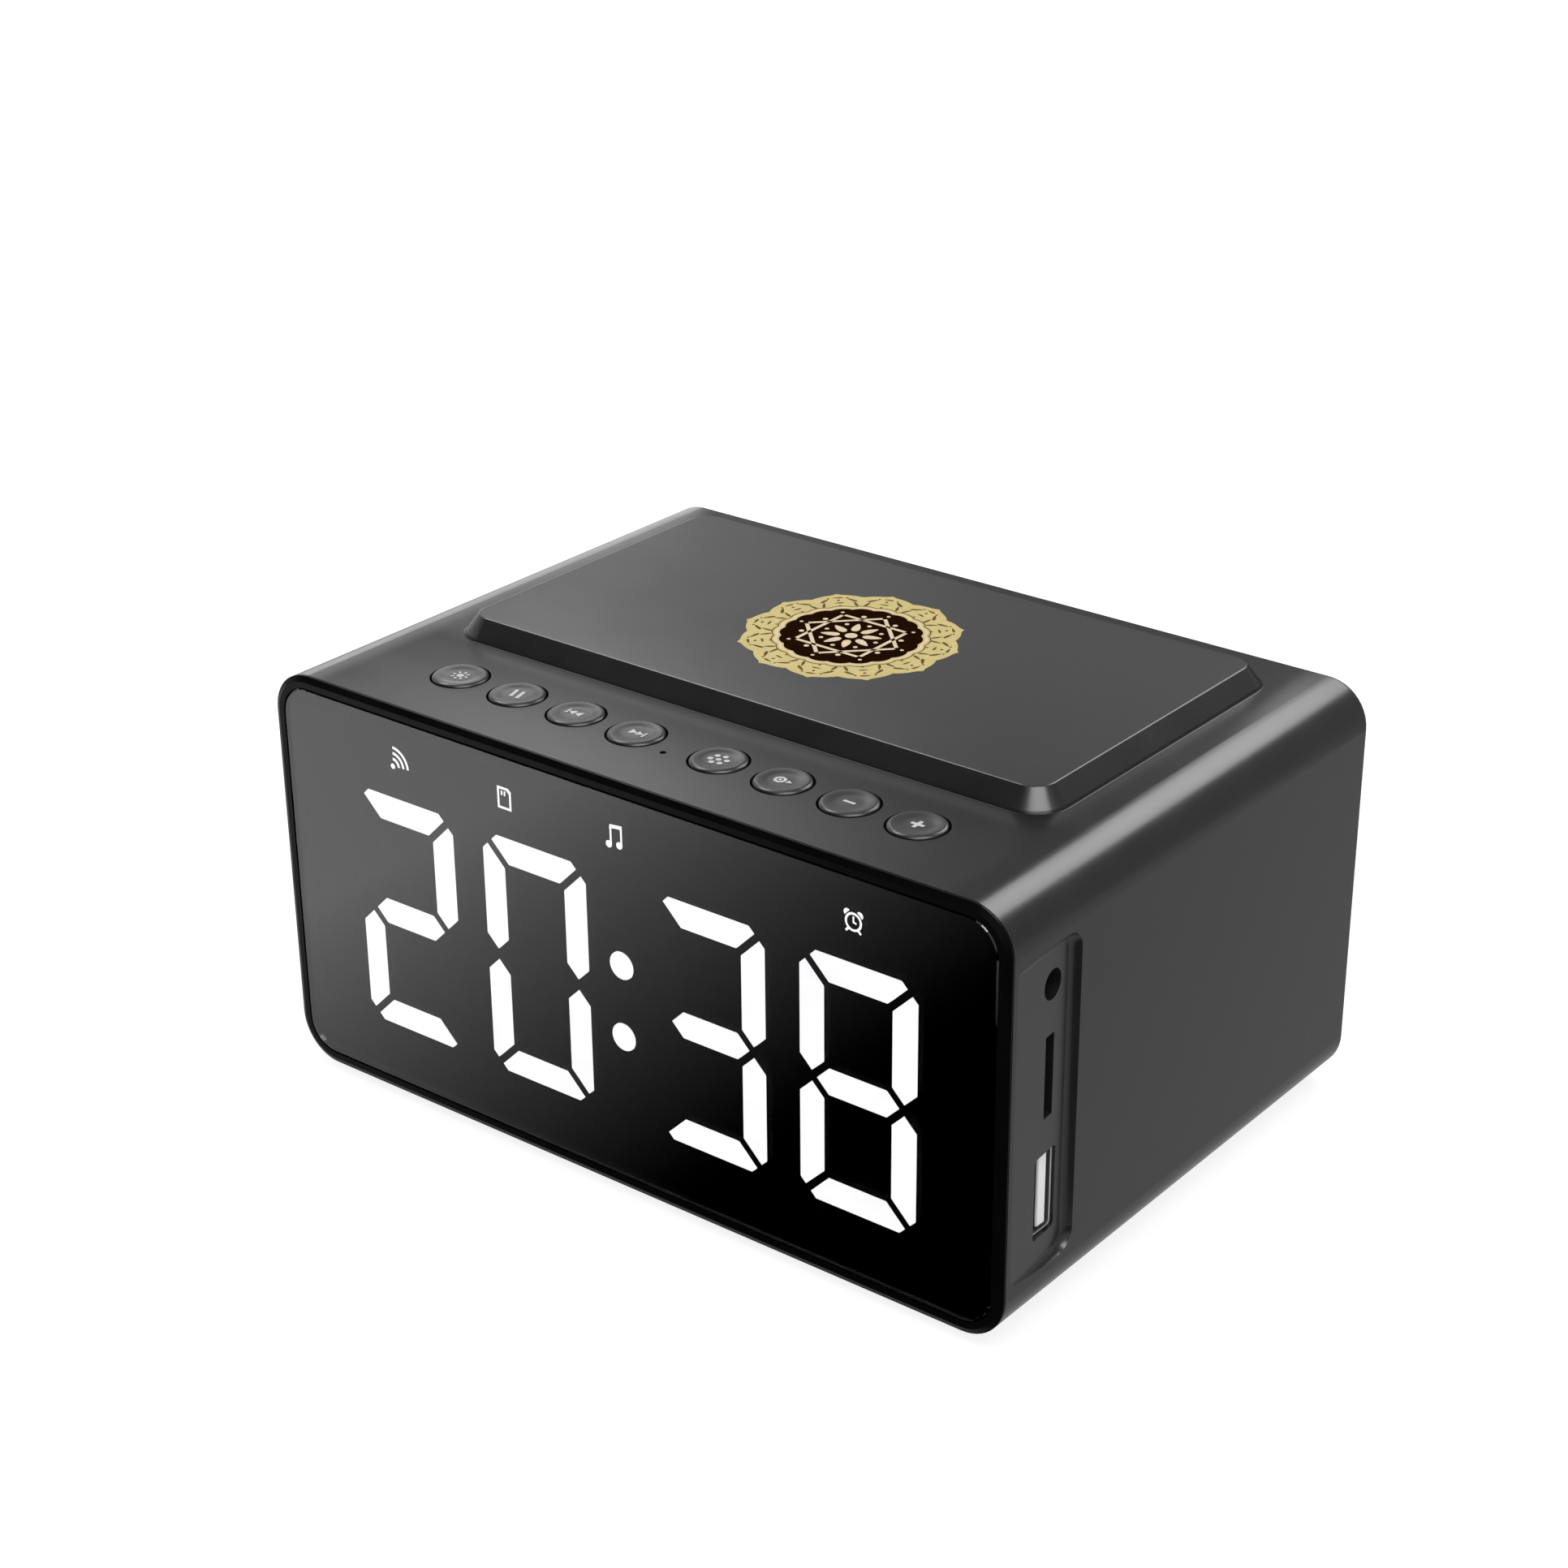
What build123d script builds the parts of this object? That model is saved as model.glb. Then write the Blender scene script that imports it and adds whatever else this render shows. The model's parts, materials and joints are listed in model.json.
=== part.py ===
# Azan clock: a bedside clock with a large lit time display, eight push buttons,
# a raised wireless charging platform, three side sockets and two speakers.
#
# Millimetres. +X is to the right of the display, +Y to the back, +Z up. The origin is
# on the surface that the feet stand on, under the middle of the clock.

from build123d import *
from math import cos, radians, sin
import os

# Housing
width = 132.0
body_depth = 91.0
body_height = 64.8
corner_radius = 6.8
wall = 2.2
gap = 0.15
rear_edge_radius = 0.9
front_lip = 1.0
front_lip_depth = 3.2
rear_lip = 1.2
cover_thickness = 2.0
cover_recess = 0.2

# Feet
foot_height = 1.2
foot_radius = 5.0
foot_pocket = 0.8
foot_x = 52.0
foot_inset = 14.0

# Charging platform, raised above the top deck
platform_rise = 3.15
platform_half_width = 54.1
platform_start = 24.2
platform_end = 84.3
platform_radius = 5.6
platform_taper = 37.3
platform_blend = 0.3
platform_edge_radius = 0.35

# Buttons
button_radius = 4.15
button_gap = 0.36
button_proud = 0.38
button_dish = 0.2
button_rim = 0.7
button_depth = 13.3
button_spacing = (7.45, 18.7, 30.0, 41.26)
button_flange_radius = 4.95
button_travel = 0.4
mic_x = -0.43
mic_depth = 10.8

# Display
lens_proud = 0.7
lens_thickness = 1.2
bezel_width = 1.84
bezel_skirt = 3.0
ledge_width = 2.2
digit_half_width = 9.8
digit_half_height = 19.33
stroke = 4.18
mitre = 0.78
digit_chamfer = 2.7
digit_x = (-41.36, -15.93, 15.93, 41.36)
digit_height = 30.3
digits = ("abged", "abcdef", "abgcd", "abcdefg")
colon_radius = 2.2
colon_rise = 5.72
icon_x = (-41.5, -20.7, 0.0, 40.8)
icon_height = 56.05
mask_window = (104.0, 42.0)

# Side sockets, in a shallow recess that deepens towards the back
recess_start = 1.0
recess_length = 14.0
recess_height = 47.8
recess_middle = 32.4
recess_tilt = 4.83
recess_radius = 2.6
recess_draft = 30.0
recess_foot_radius = 1.4
jack_depth, jack_height, jack_bore = 10.2, 50.4, 1.8
jack_hole = 2.2
card_depth, card_height = 9.92, 36.92
card_slot = (2.2, 12.3)
usb_depth, usb_height = 9.68, 19.0
usb_opening = (5.5, 12.65)
usb_pocket = (5.9, 13.34)
usb_outside = (5.7, 13.14)
usb_inside = (5.1, 12.5)
usb_lip_back = 1.5

# Boards, coil, battery and speakers
board_thickness = 1.6
main_board_depth = 10.9
key_board_height = 54.2
platform_skin = 2.0
coil_radius = 21.6
coil_thickness = 1.3
cell_radius = 9.2
cell_length = 65.0
speaker_x = 34.0
speaker_height = 33.0
speaker_flange = 40.0
grille_radius = 17.0
slot_pitch = 3.6
slot_height = 1.8
inlet_height = 14.6

# Places worked out from the sizes above
half_width = width / 2
front = -(body_depth - lens_proud) / 2
rear = front + body_depth
bottom = foot_height
deck = bottom + body_height
middle = bottom + body_height / 2
platform_top = deck + platform_rise
platform_middle = front + (platform_start + platform_end) / 2
cover_front = rear - cover_recess - cover_thickness
digit_middle = bottom + digit_height
deck_under = deck - wall
key_board_top = bottom + key_board_height + board_thickness
button_y = front + button_depth
button_x = [-x for x in reversed(button_spacing)] + list(button_spacing)
button_names = ("dimmer", "mode", "previous", "next", "lamp", "set", "minus", "plus")
foot_places = [(x, y) for x in (-foot_x, foot_x) for y in (front + foot_inset, rear - foot_inset)]
post_inset = 6.0
rear_posts = [(x, z) for x in (-1, 1) for z in (-1, 1)]


# Drawing helpers


def facing_front(y):
    # A sheet at depth y, drawn in X and Z as seen from the front
    return Plane(origin=(0, y, 0), x_dir=(1, 0, 0), z_dir=(0, -1, 0))


def facing_right(x):
    # A sheet at x, drawn in Y and Z as seen from the right
    return Plane(origin=(x, 0, 0), x_dir=(0, 1, 0), z_dir=(1, 0, 0))


def through_depth(sketch, y_low, y_high):
    return extrude(facing_front(y_high) * sketch, amount=y_high - y_low)


def through_height(sketch, z_low, z_high):
    return extrude(Plane.XY.offset(z_low) * sketch, amount=z_high - z_low)


def through_width(sketch, x_low, x_high):
    return extrude(facing_right(x_low) * sketch, amount=x_high - x_low)


def box(x_low, x_high, y_low, y_high, z_low, z_high):
    place = Pos((x_low + x_high) / 2, (y_low + y_high) / 2, (z_low + z_high) / 2)
    return place * Box(x_high - x_low, y_high - y_low, z_high - z_low)


def outline(inset):
    # The rounded front shape of the clock, moved inwards
    radius = max(corner_radius - inset, 1.0)
    return Pos(0, middle) * RectangleRounded(width - 2 * inset, body_height - 2 * inset, radius)


def upright(radius, x, y, z_low, z_high):
    return through_height(Pos(x, y) * Circle(radius), z_low, z_high)


def along_depth(radius, x, z, y_low, y_high):
    return through_depth(Pos(x, z) * Circle(radius), y_low, y_high)


def along_width(radius, y, z, x_low, x_high):
    return through_width(Pos(y, z) * Circle(radius), x_low, x_high)


def turned_upright(points, x, y):
    # A round piece from its half profile, given as (radius, z) points
    return Pos(x, y) * revolve(Plane.XZ * make_face(Polyline(*points, close=True)), Axis.Z)


def turned_along_depth(points, x, z):
    # A round piece on an axis along Y, from its half profile as (radius, y) points
    return Pos(x, 0, z) * revolve(make_face(Polyline(*points, close=True)), Axis.Y)


# Housing, moulded in one piece and open at the front and the back


def platform(grow, z_low, z_high):
    # The platform's own shape moved out by grow, from its foot at z_low to z_high
    half = platform_half_width + grow
    length = platform_end - platform_start + 2 * grow
    sketch = Pos(0, platform_middle) * RectangleRounded(2 * half, length, platform_radius + grow)
    return extrude(Plane.XY.offset(z_low) * sketch, amount=z_high - z_low, taper=platform_taper)


def around_platform(edge):
    place = edge.center()
    inside_x = abs(place.X) < platform_half_width + 0.5
    inside_y = abs(place.Y - platform_middle) < (platform_end - platform_start) / 2 + 0.5
    return inside_x and inside_y


def housing_block():
    block = through_depth(outline(0), front + gap, rear)
    block = fillet(block.faces().sort_by(Axis.Y)[-1].edges(), rear_edge_radius)
    block += platform(0, deck, platform_top)
    at_deck = [e for e in block.edges().filter_by_position(Axis.Z, deck, deck) if around_platform(e)]
    block = fillet(at_deck, platform_blend)
    return fillet(block.edges().group_by(Axis.Z)[-1], platform_edge_radius)


def port_recess():
    # A pocket with a tilted floor that starts at nothing near the display and deepens
    # to the back. Its drafted walls run into the floor in a concave radius.
    tilt = radians(recess_tilt)
    floor = Plane(
        origin=(half_width, front + recess_start, bottom + recess_middle),
        x_dir=(-sin(tilt), cos(tilt), 0),
        z_dir=(cos(tilt), sin(tilt), 0),
    )
    run_out = 8.0
    length = recess_length + run_out
    sketch = Pos(recess_length - length / 2, 0) * RectangleRounded(length, recess_height, recess_radius)
    pocket = extrude(floor * sketch, amount=3.0, taper=-recess_draft)
    return fillet(pocket.faces().sort_by(Axis.X)[0].edges(), recess_foot_radius)


def socket_holes():
    # The opening for the USB socket has a thin lip in front of the pocket for its shell
    jack = along_width(jack_hole, front + jack_depth, bottom + jack_height, half_width - 5, half_width)
    card = Pos(front + card_depth, bottom + card_height) * Rectangle(*card_slot)
    usb_place = Pos(front + usb_depth, bottom + usb_height)
    usb = through_width(usb_place * RectangleRounded(*usb_opening, 0.6), half_width - 5, half_width)
    pocket = usb_place * RectangleRounded(*usb_pocket, 0.6)
    holes = jack + through_width(card, half_width - 5, half_width)
    return holes + usb + through_width(pocket, half_width - 5, half_width - usb_lip_back)


def screw_tower(x, z_low, z_high, screw_heights):
    # A rib standing on the floor behind the main board, with holes for its screws
    y_low = front + main_board_depth + board_thickness
    tower = box(x - 3.5, x + 3.5, y_low, y_low + 8.0, z_low, z_high)
    tower += box(x - 0.9, x + 0.9, y_low + 8.0, y_low + 16.0, z_low, z_high / 2)
    for z in screw_heights:
        tower -= along_depth(1.3, x, z, y_low - 1, y_low + 7.0)
    return tower


main_board_screws = ((13.0, 10.5), (13.0, 47.0), (57.0, 9.6))


def inner_bosses():
    floor_top = bottom + wall - 0.1
    bosses = screw_tower(13.0, floor_top, 51.0, (10.5, 47.0))
    bosses += screw_tower(57.0, floor_top, 12.4, (9.6,))
    for x in (-49.3, 49.3):
        bosses += upright(2.3, x, button_y, key_board_top, deck_under + 0.1)
        bosses -= upright(1.1, x, button_y, key_board_top - 1, deck_under - 1)
    for side_x, side_z in rear_posts:
        x = side_x * (half_width - post_inset)
        z = middle + side_z * (body_height / 2 - post_inset)
        bosses += along_depth(4.0, x, z, cover_front - 22.0, cover_front)
        bosses -= along_depth(1.3, x, z, cover_front - 12.0, cover_front + 1)
    bosses &= through_depth(outline(0.6), front, rear)
    ceiling = platform_top - platform_skin
    for x, y in coil_screws():
        bosses += upright(2.6, x, y, tray_top, ceiling + 0.1)
        bosses -= upright(1.1, x, y, tray_top - 1, ceiling - 0.4)
    return bosses


def button_holes():
    hole = button_radius + button_gap
    holes = upright(0.5, mic_x, front + mic_depth, deck_under - 1, deck + 1)
    for x in button_x:
        holes += upright(hole, x, button_y, deck_under - 1, deck + 1)
    return holes


def make_housing():
    block = housing_block()
    block -= through_depth(outline(wall), front - 1, rear + 1)
    block -= platform(-wall, deck_under - 0.3, platform_top - platform_skin)
    pad_edge = half_width - wall - 1.9
    block += box(pad_edge, half_width - 1.9, front + front_lip_depth + 0.2, front + 19.0, 8.6, 58.6)
    block += inner_bosses()
    block -= through_depth(outline(front_lip), front - 1, front + front_lip_depth)
    block -= through_depth(outline(rear_lip), cover_front, rear + 1)
    block -= port_recess()
    block -= socket_holes()
    block -= button_holes()
    for x, y in foot_places:
        block -= upright(foot_radius + gap, x, y, bottom - 1, bottom + foot_pocket)
    return block


# Front: bezel, lens and the lit display behind it

ledge_front = front - lens_proud + lens_thickness + 0.2
ledge_back = ledge_front + 1.6
reflector_front = ledge_front + 0.1
display_board_front = reflector_front + 4.6
display_board_back = display_board_front + 1.2
bezel_posts = [(x, z) for x in (-56.0, 56.0) for z in (9.2, 59.4)]


def make_bezel():
    ring = through_depth(outline(0), front - lens_proud, front)
    front_edges = ring.faces().sort_by(Axis.Y)[0].edges()
    ring = chamfer(front_edges, 0.45, 0.9)
    ring += through_depth(outline(front_lip + gap), front, front + bezel_skirt)
    ring -= through_depth(outline(bezel_width), front - 2, front + bezel_skirt + 1)
    ledge = through_depth(outline(bezel_width - 0.1), ledge_front, ledge_back)
    ledge -= through_depth(outline(bezel_width + ledge_width), ledge_front - 1, ledge_back + 1)
    for x, z in bezel_posts:
        side = 1 if x > 0 else -1
        pad = Pos(x + side * 2.2, z) * RectangleRounded(10.0, 7.2, 1.5)
        ledge += through_depth(pad, ledge_front, ledge_back) & through_depth(outline(2.2), front, rear)
    ring += ledge
    for x, z in bezel_posts:
        ring += along_depth(2.5, x, z, ledge_back - 0.1, display_board_front)
        ring -= along_depth(1.1, x, z, ledge_back - 0.9, display_board_front + 1)
    return ring


def make_lens():
    lens = through_depth(outline(bezel_width + 0.1), front - lens_proud, ledge_front - 0.2)
    return chamfer(lens.faces().sort_by(Axis.Y)[0].edges(), 0.25)


def make_lens_adhesive():
    tape = outline(bezel_width + 0.2) - outline(bezel_width + ledge_width - 0.1)
    return through_depth(tape, ledge_front - 0.2, ledge_front)


def make_diffuser_film():
    # Black printed film behind the lens, with one window in front of the digits
    mask = outline(bezel_width + ledge_width + 0.4)
    mask -= Pos(0, digit_middle) * RectangleRounded(*mask_window, 1.0)
    return through_depth(mask, ledge_front - 0.2, ledge_front - 0.05)


def mirrored(points):
    # A closed outline from its right half, mirrored in X
    return Polyline(*points, *[(-x, z) for x, z in reversed(points)], close=True)


def bar_segment():
    # Top bar of a digit, mitred at both ends
    w, h, s, q, c = digit_half_width, digit_half_height, stroke, mitre, digit_chamfer
    points = [(w - c, h), (w - (c + q) / 2, h - (c - q) / 2), (w - s - q, h - s)]
    return make_face(mirrored(points))


def middle_segment():
    w, s, q = digit_half_width, stroke, mitre
    return make_face(mirrored([(w - s - q, s / 2), (w - s / 2 - q, 0), (w - s - q, -s / 2)]))


def side_segment():
    # Upper right bar of a digit, mitred at its top and pointed at its foot
    w, h, s, q, c = digit_half_width, digit_half_height, stroke, mitre, digit_chamfer
    points = [
        (w - (c - q) / 2, h - (c + q) / 2),
        (w, h - c),
        (w, q + s / 2),
        (w - s / 2, q),
        (w - s, q + s / 2),
        (w - s, h - s - q),
    ]
    return make_face(Polyline(*points, close=True))


def digit_segments():
    # The seven bars of a digit by letter, clockwise from the top, g in the middle
    bar = bar_segment()
    side = side_segment()
    return {
        "a": bar,
        "b": side,
        "c": mirror(side, Plane.XZ),
        "d": mirror(bar, Plane.XZ),
        "e": Rot(0, 0, 180) * side,
        "f": mirror(side, Plane.YZ),
        "g": middle_segment(),
    }


def segment_blocks(lit, y_low, y_high, shrink):
    blocks = []
    for x, letters in zip(digit_x, digits):
        for letter, face in digit_segments().items():
            if (letter in letters) == lit:
                shape = offset(face, -shrink, kind=Kind.INTERSECTION) if shrink else face
                blocks.append(through_depth(Pos(x, digit_middle) * shape, y_low, y_high))
    return blocks


def colon_blocks(y_low, y_high, shrink):
    heights = (digit_middle - colon_rise, digit_middle + colon_rise)
    return [along_depth(colon_radius - shrink, 0, z, y_low, y_high) for z in heights]


def make_display_reflector():
    body = Pos(0, 33.6) * RectangleRounded(105.2, 54.2, 2.0)
    block = through_depth(body, reflector_front, display_board_front)
    low, high = reflector_front - 1, display_board_front + 1
    wells = segment_blocks(True, low, high, 0) + segment_blocks(False, low, high, 0)
    wells += colon_blocks(low, high, 0)
    wells += [
        through_depth(Pos(x, bottom + icon_height) * Rectangle(6.4, 4.6), low, high) for x in icon_x
    ]
    for well in wells:
        block -= well
    return block


def make_segments(lit):
    blocks = segment_blocks(lit, reflector_front, reflector_front + 3.2, 0.05)
    if lit:
        blocks += colon_blocks(reflector_front, reflector_front + 3.2, 0.05)
    return Compound(children=blocks)


def make_display_board():
    plate = Pos(0, 33.6) * RectangleRounded(104.4, 54.2, 1.0)
    for x, z in bezel_posts:
        side = 1 if x > 0 else -1
        plate += Pos(x - side * 2.0, z) * RectangleRounded(9.0, 6.0, 2.0)
        plate -= Pos(x, z) * Circle(1.3)
    return through_depth(plate, display_board_front, display_board_back)


def make_display_leds():
    spots = []
    for x in digit_x:
        for face in digit_segments().values():
            centre = face.center()
            spots.append((x + centre.X, digit_middle + centre.Y))
    spots += [(0, digit_middle - colon_rise), (0, digit_middle + colon_rise)]
    spots += [(x, bottom + icon_height) for x in icon_x]
    low, high = display_board_front - 0.7, display_board_front
    return Compound(children=[box(x - 1.0, x + 1.0, low, high, z - 0.7, z + 0.7) for x, z in spots])


# Main board and the sockets on its edge

board_back = front + main_board_depth + board_thickness
board_right = half_width - wall - 2.1
usb_left = 53.1
usb_right = half_width - usb_lip_back - 0.05
jack_left = 52.6
card_left = 47.2


def make_main_board():
    board = box(8.0, board_right, front + main_board_depth, board_back, 6.0, 53.8)
    usb_z = bottom + usb_height
    board -= box(usb_left - 0.3, half_width, front, rear, usb_z - 7.1, usb_z + 7.1)
    board -= box(jack_left - 0.3, half_width, front, rear, bottom + jack_height - 3.1, deck)
    for x, z in main_board_screws:
        board -= along_depth(1.5, x, z, front, rear)
    return board


def make_board_chips():
    # Processor, amplifier, radio module, crystal and two capacitors on the back of the board
    sizes = (
        (24.0, 22.0, 12.0, 12.0, 1.4),
        (42.0, 20.0, 7.0, 5.0, 1.5),
        (30.0, 43.0, 16.0, 12.0, 2.2),
        (36.0, 31.0, 5.0, 3.4, 1.2),
    )
    chips = [
        box(x - w / 2, x + w / 2, board_back, board_back + t, z - h / 2, z + h / 2)
        for x, z, w, h, t in sizes
    ]
    for x in (46.0, 54.0):
        chips.append(along_depth(3.2, x, 36.0, board_back, board_back + 8.0))
    return Compound(children=chips)


def make_display_header():
    # Pin strip that joins the display board to the main board
    z = bottom + 5.4
    board_front = front + main_board_depth
    strip = box(17.0, 42.4, display_board_back, board_front, z, z + 2.5)
    for pin in range(9):
        x = 19.54 + 2.54 * pin
        strip -= box(x - 0.25, x + 0.25, display_board_back + 0.5, board_front - 0.7, z - 1, z + 3.5)
    return strip


def make_audio_jack():
    y, z = front + jack_depth, bottom + jack_height
    right = board_right + 0.2
    body = box(jack_left, right, y - 3.0, y + 3.0, z - 2.8, z + 2.8)
    return body - along_width(jack_bore, y, z, jack_left - 1, right + 1)


def make_card_socket():
    y_low = front + main_board_depth - 1.9
    z = bottom + card_height
    right = board_right + 0.2
    body = box(card_left, right, y_low, front + main_board_depth, z - 7.25, z + 7.25)
    y = front + card_depth
    return body - box(card_left + 1.0, right + 1, y - 0.6, y + 0.6, z - 5.6, z + 5.6)


def usb_section(size, inset):
    sketch = RectangleRounded(size[0] - 2 * inset, size[1] - 2 * inset, 0.5)
    return Pos(front + usb_depth, bottom + usb_height) * sketch


def make_usb_shell():
    shell = through_width(usb_section(usb_outside, 0), usb_left, usb_right)
    shell -= through_width(usb_section(usb_inside, 0), usb_left + 1.6, usb_right + 1)
    return shell


def make_usb_tongue():
    y_low = front + usb_depth - 0.25
    z = bottom + usb_height
    tongue = box(usb_left + 1.6, usb_right - 0.1, y_low, y_low + 2.1, z - 5.55, z + 5.55)
    tongue = chamfer(tongue.faces().sort_by(Axis.X)[-1].edges().filter_by(Axis.Z), 0.25)
    root = through_width(usb_section(usb_inside, 0.05), usb_left + 1.6, usb_left + 3.0)
    return tongue + root


# Buttons, their switches and the microphone


def make_key_board():
    plate = Pos(0, front + 13.3) * RectangleRounded(104.0, 9.6, 1.0)
    for x in (-49.3, 49.3):
        plate -= Pos(x, button_y) * Circle(1.3)
    return through_height(plate, key_board_top - board_thickness, key_board_top)


def make_switches():
    # Tact switch housings, one under each button, open for their plungers
    switches = []
    for x in button_x:
        body = Pos(x, button_y, key_board_top + 1.6) * Box(6.0, 6.0, 3.2)
        well_floor = plunger_foot - button_travel - 0.2
        body -= upright(1.9, x, button_y, well_floor, key_board_top + 4)
        switches.append(body)
    return Compound(children=switches)


plunger_foot = key_board_top + 2.0
plunger_top = key_board_top + 4.1


def make_button(x):
    # A round cap with a dished top and a narrow rim, a flange under the deck and a stem
    top = deck + button_proud
    seat = deck_under - 0.2
    r = button_radius
    rim = r - button_rim
    centre = (0, top - button_dish)
    dish = Spline(centre, (rim - 0.9, top - 0.75 * button_dish), (rim, top), tangents=((1, 0), (1, 0)))
    edge = ThreePointArc((rim, top), (r - 0.2, top - 0.12), (r, top - 0.36))
    skirt = Polyline(
        (r, top - 0.36),
        (r, seat),
        (button_flange_radius, seat),
        (button_flange_radius, seat - 1.1),
        (1.8, seat - 1.1),
        (1.8, plunger_top),
        (0, plunger_top),
        centre,
    )
    profile = make_face(Curve() + [dish, edge, skirt])
    return Pos(x, button_y) * revolve(Plane.XZ * profile, Axis.Z)


def make_plunger(x):
    return upright(1.7, x, button_y, plunger_foot, plunger_top)


def make_mic_boot():
    y = front + mic_depth
    boot = upright(2.5, 0, y, key_board_top, deck_under)
    return boot - upright(1.9, 0, y, key_board_top + 1.0, deck_under + 1)


def make_microphone():
    return upright(1.85, 0, front + mic_depth, key_board_top + 1.0, key_board_top + 2.6)


# Wireless charging coil under the platform

coil_top = platform_top - platform_skin - 0.25
ferrite_top = coil_top - coil_thickness
tray_top = ferrite_top - 1.0
tray_bottom = tray_top - 1.5
charger_board_top = tray_bottom - 3.4


def coil_screws():
    return [(x, platform_middle + y) for x in (-34.0, 34.0) for y in (-17.0, 17.0)]


def make_coil():
    # Ten turns of litz wire side by side, wound flat
    turns = 10
    inner = 10.2
    pitch = (coil_radius - inner) / turns
    points = [(inner, ferrite_top)]
    for turn in range(turns):
        left = inner + turn * pitch
        points += [(left + 0.12, coil_top), (left + pitch - 0.12, coil_top)]
        points += [(left + pitch, ferrite_top + 0.7)]
    points += [(coil_radius, ferrite_top)]
    return turned_upright(points, 0, platform_middle)


def make_ferrite():
    return upright(24.0, 0, platform_middle, tray_top, ferrite_top)


def make_coil_tray():
    plate = Pos(0, platform_middle) * RectangleRounded(76.0, 42.0, 5.0)
    plate += Pos(0, platform_middle) * Circle(25.7)
    tray = through_height(plate, tray_bottom, tray_top)
    tray += upright(25.7, 0, platform_middle, tray_bottom, ferrite_top + 0.2)
    tray -= upright(24.3, 0, platform_middle, tray_top, ferrite_top + 2)
    for x, y in coil_screws():
        tray -= upright(1.3, x, y, tray_bottom - 1, tray_top + 1)
    for x, y in charger_posts():
        tray += upright(2.4, x, y, charger_board_top, tray_bottom)
    return tray


def charger_posts():
    return [(x, platform_middle + y) for x in (-19.0, 19.0) for y in (-13.0, 13.0)]


def make_charger_board():
    plate = Pos(0, platform_middle) * RectangleRounded(46.0, 34.0, 1.5)
    return through_height(plate, charger_board_top - 1.2, charger_board_top)


def make_charger_chips():
    low = charger_board_top - 1.2
    chips = [Pos(x, platform_middle + y, low - t / 2) * Box(w, d, t)
             for x, y, w, d, t in ((-8, 3, 7, 7, 1.0), (6, 5, 5, 4, 1.2), (8, -7, 12, 6, 2.6))]
    return Compound(children=chips)


# Battery in its cradle on the floor

cell_y = front + 48.0
cell_x = -18.0
cell_height = bottom + wall + 1.4 + cell_radius


def make_battery_cell():
    length = cell_length
    cell = along_width(cell_radius, cell_y, cell_height, cell_x - length / 2, cell_x + length / 2)
    return chamfer(cell.edges(), 0.6)


def make_battery_cradle():
    # A trough with closed ends that holds the cell, and an ear at each end for a screw
    low = bottom + wall
    x_low = cell_x - cell_length / 2 - 2.2
    x_high = cell_x + cell_length / 2 + 2.2
    trough = Pos(cell_y, low + 5.5) * Rectangle(2 * cell_radius + 3.6, 11.0)
    cradle = through_width(trough, x_low, x_high)
    cradle -= along_width(cell_radius + 0.1, cell_y, cell_height, x_low + 2.0, x_high - 2.0)
    for x in (x_low - 3.0, x_high + 3.0):
        cradle += box(x - 3.2, x + 3.2, cell_y - 4.0, cell_y + 4.0, low, low + 2.0)
        cradle -= upright(1.4, x, cell_y, low - 1, low + 3)
    return cradle


# Back: cover with its grilles, speakers and power inlet

speaker_seat = cover_front - 3.0
flange_front = speaker_seat - 1.2


def grille_slots(x_middle):
    slots = []
    rows = int(grille_radius / slot_pitch)
    for row in range(-rows, rows + 1):
        z = row * slot_pitch
        length = 2 * (grille_radius**2 - z**2) ** 0.5
        slot = Pos(x_middle, speaker_height + z) * SlotOverall(length, slot_height)
        slots.append(through_depth(slot, cover_front - 1, rear + 1))
    return slots


def make_rear_cover():
    cover = through_depth(outline(rear_lip + gap), cover_front, cover_front + cover_thickness)
    cover = fillet(cover.faces().sort_by(Axis.Y)[-1].edges(), 0.4)
    for x in (-speaker_x, speaker_x):
        seat = Circle(21.4) - Circle(17.8)
        cover += through_depth(Pos(x, speaker_height) * seat, speaker_seat, cover_front + 0.1)
        for slot in grille_slots(x):
            cover -= slot
        for ear_x, ear_z in speaker_ears(x):
            cover += along_depth(2.6, ear_x, ear_z, speaker_seat, cover_front + 0.1)
            cover -= along_depth(1.0, ear_x, ear_z, speaker_seat - 1, cover_front + 0.6)
    cover += box(-9.0, 9.0, cover_front - 15.0, cover_front + 0.1, bottom + 9.4, bottom + 11.4)
    inlet = Pos(0, bottom + inlet_height) * SlotOverall(9.7, 4.0)
    cover -= through_depth(inlet, cover_front - 1, rear + 1)
    for side_x, side_z in rear_posts:
        x = side_x * (half_width - post_inset)
        z = middle + side_z * (body_height / 2 - post_inset)
        cover -= along_depth(1.5, x, z, cover_front - 1, rear + 1)
        cover -= along_depth(2.6, x, z, cover_front + 0.8, rear + 1)
    return cover


def speaker_ears(x_middle):
    reach = 16.0
    return [(x_middle + x, speaker_height + z) for x in (-reach, reach) for z in (-reach, reach)]


def make_grille_cloth():
    discs = []
    for x in (-speaker_x, speaker_x):
        discs.append(along_depth(17.6, x, speaker_height, cover_front - 0.3, cover_front))
    return Compound(children=discs)


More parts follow.
